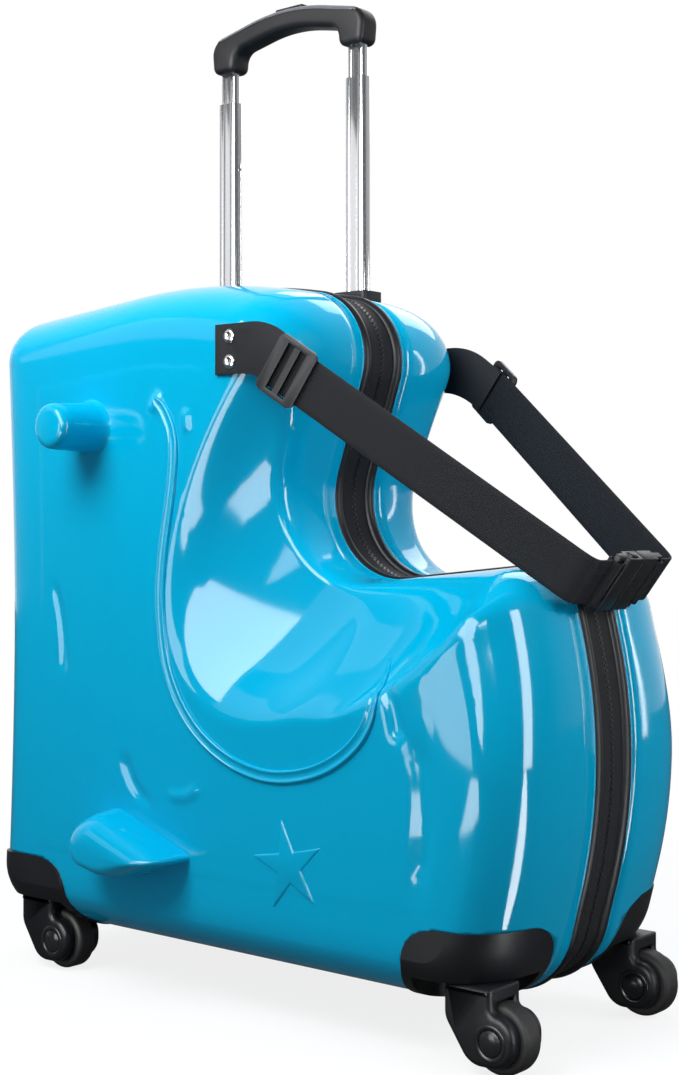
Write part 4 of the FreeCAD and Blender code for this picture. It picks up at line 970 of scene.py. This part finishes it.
# %% [markdown]
# ## Casters
# A caster is a hooded fork on a round neck. Its cheeks end in discs that almost hide the wheel, and a cap
# with a ring covers the axle. The fork is one side outline drawn to the full width, with its edges rolled
# over, from which the wheel's slot is cut. The turned wheel is the CAD piece in its finish.

# %% Forks and caps
AXLE_TRAIL = 20.0
AXLE_HEIGHT = 24.5
FORK_HALF = 19.5
# Side outline round the swivel axis: forward, up and radius, in millimetres
FORK_OUTLINE = (
    (-19.5, 60, 1.5), (-19.5, 36, 16), (1, 6.6, 17.5), (38.0, 7.0, 17.5), (38.0, 42.0, 17.5),
    (19.5, 43.5, 5), (19.5, 60, 1.5),
)
FORK_ROLL = 4.5
SLOT_RADIUS = 26.2
SLOT_HALF = 9.6
SLOT_PROFILE = ((0, -SLOT_HALF), (SLOT_RADIUS, -SLOT_HALF), (SLOT_RADIUS, SLOT_HALF), (0, SLOT_HALF))
CAP_PROFILE = (
    (0, 20.0), (8.4, 20.0), (8.9, 19.5), (9.5, 19.5), (10.0, 20.1), (12.4, 20.1), (13.0, 19.6),
    (13.2, 17.0),
)


def rolled_block(spot, outline, half, roll, segments):
    """Side outline round a point, drawn out to both sides, with its rims rolled over."""
    bm = bmesh.new()
    corners = [spot + Vector((x * MM, -half * MM, z * MM)) for x, z, radius in outline]
    rounded_ring(bm, corners, [radius * MM for x, z, radius in outline], 2 * MM)
    face = bmesh.ops.contextual_create(bm, geom=bm.edges[:])["faces"][0]
    verts = verts_of(bmesh.ops.extrude_face_region(bm, geom=[face], use_keep_orig=True)["geom"])
    bmesh.ops.translate(bm, vec=(0, 2 * half * MM, 0), verts=verts)
    outward(bm)
    rims = [edge for edge in bm.edges if len({round(vert.co.y, 5) for vert in edge.verts}) == 1]
    roll_edges(bm, rims, roll, segments)
    return bm


for side_name, side in SIDES:
    for end in SWIVELS:
        name = "%s_%s" % (side_name, end)
        body = name + "_caster"
        spot = caster_spot(end, side)
        axle = spot + Vector((AXLE_TRAIL * MM, 0, AXLE_HEIGHT * MM))
        fork = rolled_block(spot, FORK_OUTLINE, FORK_HALF, FORK_ROLL, 4)
        hood = add_piece(name + "_hood", fork, body, satin_black, "caster", name + "_fork")
        carve(hood, [turned(SLOT_PROFILE, axle, (0, 1, 0), 96)])
        caps = joined([turned(CAP_PROFILE, axle, (0, way, 0), 48) for way in (1, -1)])
        add_piece(name + "_caps", caps, body, dark_gloss, "steel", name + "_axle")
print("four casters, slots", 2 * SLOT_HALF, "mm wide")

# %% [markdown]
# ## Waist strap
# The strap is polyester webbing: dense cords run its whole length, and the weft dips between them. Each
# strap follows a smooth line in one slanted plane and keeps its width square to that plane, so the line is
# drawn out sideways and thickened. Two attributes hold the place along and across for the weave.

# %% Weave
weave_group, start, end = group_tree(
    "weave", {"Along": 0.0, "Across": 0.0, "Cord": 1.5, "Pick": 2.2},
    {"Height": "NodeSocketFloat", "PaintedShade": "NodeSocketFloat"})


def woven(operation, first, second=0.0):
    """One step of the reckoning in the weave group."""
    return shade(weave_group, "Math", {0: first, 1: second}, operation=operation).outputs[0]


cord = woven("DIVIDE", start.outputs["Across"], start.outputs["Cord"])
pick = woven("DIVIDE", start.outputs["Along"], start.outputs["Pick"])
shift = woven("MULTIPLY", woven("FLOOR", cord), 0.5)
swell = woven("MULTIPLY", woven("ADD", pick, shift), math.pi)
swell = woven("ABSOLUTE", woven("SINE", swell))
ridge = woven("ABSOLUTE", woven("SINE", woven("MULTIPLY", cord, math.pi)))
thick = woven("ADD", woven("MULTIPLY", swell, 0.55), 0.45)
height = woven("MULTIPLY", ridge, thick)
# Painted shade: the colour is darker in the dips between the cords and lighter on their crowns
tone = woven("ADD", woven("MULTIPLY", height, 0.5), 0.5)
feed(weave_group, end, {"Height": height, "PaintedShade": tone})

webbing = bpy.data.materials.new("webbing")
webbing.use_nodes = True
tree = webbing.node_tree
places = {name: shade(tree, "Attribute", attribute_name=name.lower()).outputs["Fac"]
          for name in ("Along", "Across")}
thread = shade(tree, "Group", places, node_tree=weave_group)
# The black goes darker in the dips by the painted shade of the weave
black = shade(tree, "Mix", {0: thread.outputs["PaintedShade"], 6: (0.003, 0.003, 0.004, 1),
                            7: (0.012, 0.014, 0.018, 1)}, data_type="RGBA")
rough = shade(tree, "MapRange", {"Value": thread.outputs["PaintedShade"], "To Min": 0.85, "To Max": 0.6})
dent = shade(tree, "Bump", {"Height": thread.outputs["Height"], "Distance": 0.4 * MM, "Strength": 0.35})
feed(tree, tree.nodes["Principled BSDF"], {
    "Base Color": black.outputs[2], "Roughness": rough.outputs[0], "Normal": dent.outputs["Normal"],
    "Specular IOR Level": 0.15})
print("weave group with", len(weave_group.nodes), "nodes")

# %% Straps
buckle_low, buckle_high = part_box("buckle_socket")
BUCKLE = Vector(((buckle_low.x + buckle_high.x) / 2, 0, (buckle_low.z + buckle_high.z) / 2))
LEAN = math.radians(36.78)
RUN_WAY = Vector((math.cos(LEAN), 0, -math.sin(LEAN)))
ACROSS = Vector((math.sin(LEAN), 0, math.cos(LEAN)))
STRAP_HALF = 19.0
STRAP_THICK = 1.9
STRAP_EDGE = 0.6
STRAP_ROWS = 8
ROW_WIDTH = 2 * STRAP_HALF / STRAP_ROWS
# Routes of a strap and of its loop, in the slanted plane: back from the buckle and out from the zip
STRAP_ROUTE = (
    (267, 132.6), (253, 128.6), (200, 113), (130, 92), (60, 71), (22, 59.6), (5, 54.5), (0, 49),
    (0, 42), (0, 31.4),
)
LOOP_ROUTE = ((4.4, 24.2), (-4.4, 24.2), (-4.4, 32.0), (4.4, 32.0))


def ribbon(side, line, closed=False):
    """Strip drawn out sideways from a smooth line, with its place along and across in two attributes."""
    spots = [BUCKLE - RUN_WAY * (back * MM) + Vector((0, side * out * MM, 0)) for back, out in line]
    bm = route(spots, closed=closed, fine=6)
    along = bm.verts.layers.float.new("along")
    across = bm.verts.layers.float.new("across")
    bm.verts.ensure_lookup_table()
    for number in range(1, len(bm.verts)):
        step = (bm.verts[number].co - bm.verts[number - 1].co).length
        bm.verts[number][along] = bm.verts[number - 1][along] + step / MM
    bmesh.ops.translate(bm, vec=ACROSS * (-STRAP_HALF * MM), verts=bm.verts[:])
    edges = bm.edges[:]
    for row in range(1, STRAP_ROWS + 1):
        verts, edges = grown(bm, edges)
        bmesh.ops.translate(bm, vec=ACROSS * (ROW_WIDTH * MM), verts=verts)
        for vert in verts:
            vert[across] = row * ROW_WIDTH
    return outward(bm)


straps = add_pair("_waist_strap", lambda side: ribbon(side, STRAP_ROUTE), webbing, "webbing", "_strap")
loops = add_pair("_strap_loop", lambda side: ribbon(side, LOOP_ROUTE, closed=True), webbing, "webbing")
for piece in straps + loops:
    wall = piece.modifiers.new("wall", "SOLIDIFY")
    wall.thickness = STRAP_THICK * MM
    wall.offset = 0
    edge = piece.modifiers.new("edge", "BEVEL")
    edge.width = STRAP_EDGE * MM
    edge.segments = 2
    edge.limit_method = "ANGLE"
print("straps", round(2 * STRAP_HALF), "mm wide")

# %% Tabs, adjusters and buckle
FLAT = math.radians(1)
SHARP = math.radians(30)
CREASED = math.radians(40)


def softened(name, width):
    """Copy of a CAD piece with its doubles merged and its sharp edges rolled over."""
    bm = bmesh.new()
    bm.from_mesh(nodes[name].data)
    bmesh.ops.remove_doubles(bm, verts=bm.verts[:], dist=0.01 * MM)
    bmesh.ops.dissolve_limit(bm, angle_limit=FLAT, verts=bm.verts[:], edges=bm.edges[:])
    edges = [edge for edge in bm.edges if len(edge.link_faces) == 2 and edge.calc_face_angle(0) > SHARP]
    roll_edges(bm, edges, width, 2, clamp=True)
    return bm


bodies = frame["record"]["behaviour"]["bodies"]
body_of = {node: body for body, members in bodies.items() for node in members}
SOFTENED = (
    ("near_glide", 1.0, satin_black), ("far_glide", 1.0, satin_black),
    ("near_strap_tab", 0.6, black_cloth), ("far_strap_tab", 0.6, black_cloth),
    ("buckle_socket", 1.2, satin_black), ("buckle_plug", 1.2, satin_black),
    ("buckle_tab_upper", 0.8, satin_black), ("buckle_tab_lower", 0.8, satin_black),
    ("trolley_button", 1.2, dark_gloss), ("trolley_collars", 1.0, satin_black),
    ("zip_slider", 0.5, dark_gloss), ("zip_pull", 0.4, dark_gloss),
)
slot_of = {part["node"]: part["material_slot"] for part in frame["record"]["subparts"]}
for name, width, look in SOFTENED:
    bm = softened(name, width)
    piece = add_piece(name + "_rolled", bm, body_of[name], look, slot_of[name], name)
    piece.data.set_sharp_from_angle(angle=CREASED)
print(len(SOFTENED), "pieces with rolled edges")

# %% Rivets
RIVETS = ((295, 460.5), (295, 479.5))
RIVET_PROFILE = (
    (2.4, 121.4), (4.2, 121.4), (4.2, 122.4), (2.4, 122.4), (2.4, 127.0), (5.6, 127.0),
    (5.6, 127.5), (5.2, 128.3), (4.2, 128.9), (2.8, 129.2), (2.4, 129.0), (0, 128.6),
)


def rivet_pair(side):
    return joined([turned(RIVET_PROFILE, place(*spot), (0, side, 0), 40) for spot in RIVETS])


add_pair("_rivet_heads", rivet_pair, rivet_chrome, "rivet", "_rivets")
print("rivets", 2 * RIVET_PROFILE[5][0], "mm across")

# %% [markdown]
# ## Trolley
# The trolley tubes are drawn aluminium with rounded corners and a pair of shallow flutes on each broad
# side. A tube is a circle pressed into that section and drawn upwards. Stop holes are drilled in the inner
# narrow sides of the first stage, where the spring pins of the second stage catch. The grip is an arch like
# a fork: one outline drawn to its width with rolled rims. Thin strips of a lighter, smoother finish lie on
# the rims that look up and out. They are a painted highlight for the light those rims catch from above,
# and partly a polished finish. A room is cut for the button.

# %% Tubes
TUBE_SIDES = 96
TUBE_POWER = 0.45
TUBE_WALL = 1.2
RIM_ROLL = 0.4
FLUTE_PLACE = 0.36
FLUTE_DEPTH = 0.45
FLUTE_WIDTH = 1.5
STOP_HOLES = (690, 585)
STOP_RADIUS = 2.4


def pressed(value, half):
    """Place on a unit circle pressed out towards the corners of a box."""
    return math.copysign(abs(value) ** TUBE_POWER, value) * half


def tube(middle, long, wide, low, high):
    """One hollow tube of a pressed and fluted section."""
    bm = bmesh.new()
    for vert in bmesh.ops.create_circle(bm, segments=TUBE_SIDES, radius=1)["verts"]:
        x = pressed(vert.co.x, long / 2)
        y = pressed(vert.co.y, wide / 2)
        flute = math.exp(-((abs(x) - FLUTE_PLACE * long / 2) / FLUTE_WIDTH) ** 2)
        y -= math.copysign(FLUTE_DEPTH * flute, y)
        vert.co = middle + Vector((x * MM, y * MM, low))
    top = grown(bm, bm.edges[:])[0]
    bmesh.ops.translate(bm, vec=(0, 0, high - low), verts=top)
    outward(bm)
    bmesh.ops.solidify(bm, geom=bm.faces[:], thickness=TUBE_WALL * MM)
    rims = [edge for edge in bm.edges if all(vert.co.z > high - 0.1 * MM for vert in edge.verts)
            and any(abs(face.normal.z) < 0.5 for face in edge.link_faces)]
    roll_edges(bm, rims, RIM_ROLL, 2)
    return bm


def add_stage(name, body, node, long, wide, holes):
    """Two tubes as one piece, with stop holes in their inner narrow sides."""
    low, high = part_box(node)
    half = long * MM / 2
    across = (low.y + high.y) / 2
    middles = (Vector((low.x + half, across, 0)), Vector((high.x - half, across, 0)))
    both = joined([tube(middle, long, wide, low.z, high.z) for middle in middles])
    piece = add_piece(name, both, body, bright_tube, "tube", node)
    drill = ((0, 0), (STOP_RADIUS, 0), (STOP_RADIUS, long), (0, long))
    if holes:
        carve(piece, [turned(drill, middle + Vector((0, 0, height * MM)), (way, 0, 0), 24)
                      for height in holes for middle, way in zip(middles, (1, -1))])
    piece.data.set_sharp_from_angle(angle=CREASED)


add_stage("first_stage_tubes", "trolley_first", "trolley_outer", 21.0, 11.6, STOP_HOLES)
add_stage("second_stage_tubes", "trolley_second", "trolley_inner", 17.4, 8.0, ())
print("tubes with", len(STOP_HOLES), "stop holes a side")

# %% Grip
GRIP_LOW = 775
GRIP_HALF = 11.5
GRIP_ROLL = 5.0
BUTTON_PLAY = 0.35
BUTTON_ROOM = 6.0
# Outline of the grip along the case and up from its feet, with radii; the arms narrow towards the tubes
GRIP_OUTLINE = (
    (-173.5, 0, 6.5), (-176.1, 29, 15), (-88.1, 48, 206), (-0.1, 29, 15), (-2.7, 0, 6.5),
    (-27.5, 0, 6.5), (-29.1, 17, 11), (-88.1, 29, 147), (-147.1, 17, 11), (-148.7, 0, 6.5),
)
# The strips of painted highlight lie where the rolled rims look up and out, towards the light from above:
# limits of the normal upwards, across and along
HIGHLIGHT_UP = (0.36, 0.94)
HIGHLIGHT_ACROSS = 0.3
HIGHLIGHT_ALONG = 0.32
HIGHLIGHT_THICK = 0.4


# True for a rim face that looks up and out, where the painted highlight goes
def in_painted_highlight(way):
    rises = HIGHLIGHT_UP[0] < way.z < HIGHLIGHT_UP[1]
    return rises and abs(way.y) > HIGHLIGHT_ACROSS and abs(way.x) < HIGHLIGHT_ALONG


low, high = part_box("trolley_grip")
feet = Vector((0, (low.y + high.y) / 2, GRIP_LOW * MM))
arch = rolled_block(feet, GRIP_OUTLINE, GRIP_HALF, GRIP_ROLL, 6)
# The rims that face up and out, copied as a thin layer in the lighter finish: a painted highlight
highlight_strips = outward(arch.copy())
others = [face for face in highlight_strips.faces if not in_painted_highlight(face.normal)]
bmesh.ops.delete(highlight_strips, geom=others, context="FACES")
bmesh.ops.solidify(highlight_strips, geom=highlight_strips.faces[:], thickness=-HIGHLIGHT_THICK * MM)
add_piece("grip_painted_highlight_strips", outward(highlight_strips), "trolley_second", grip_painted_highlight, "grip")
grip = add_piece("trolley_grip_arch", arch, "trolley_second", grip_black, "grip", "trolley_grip")
print("grip", round((high.x - low.x) / MM), "mm wide")

low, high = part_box("trolley_button")
play = Vector((BUTTON_PLAY, BUTTON_PLAY, BUTTON_ROOM)) * MM
room = bmesh.new()
middle = Matrix.Translation((low + high) / 2)
bmesh.ops.create_cube(room, size=1, matrix=middle @ Matrix.Diagonal((*(high - low + 2 * play), 1)))
carve(grip, [room])
grip.data.set_sharp_from_angle(angle=CREASED)
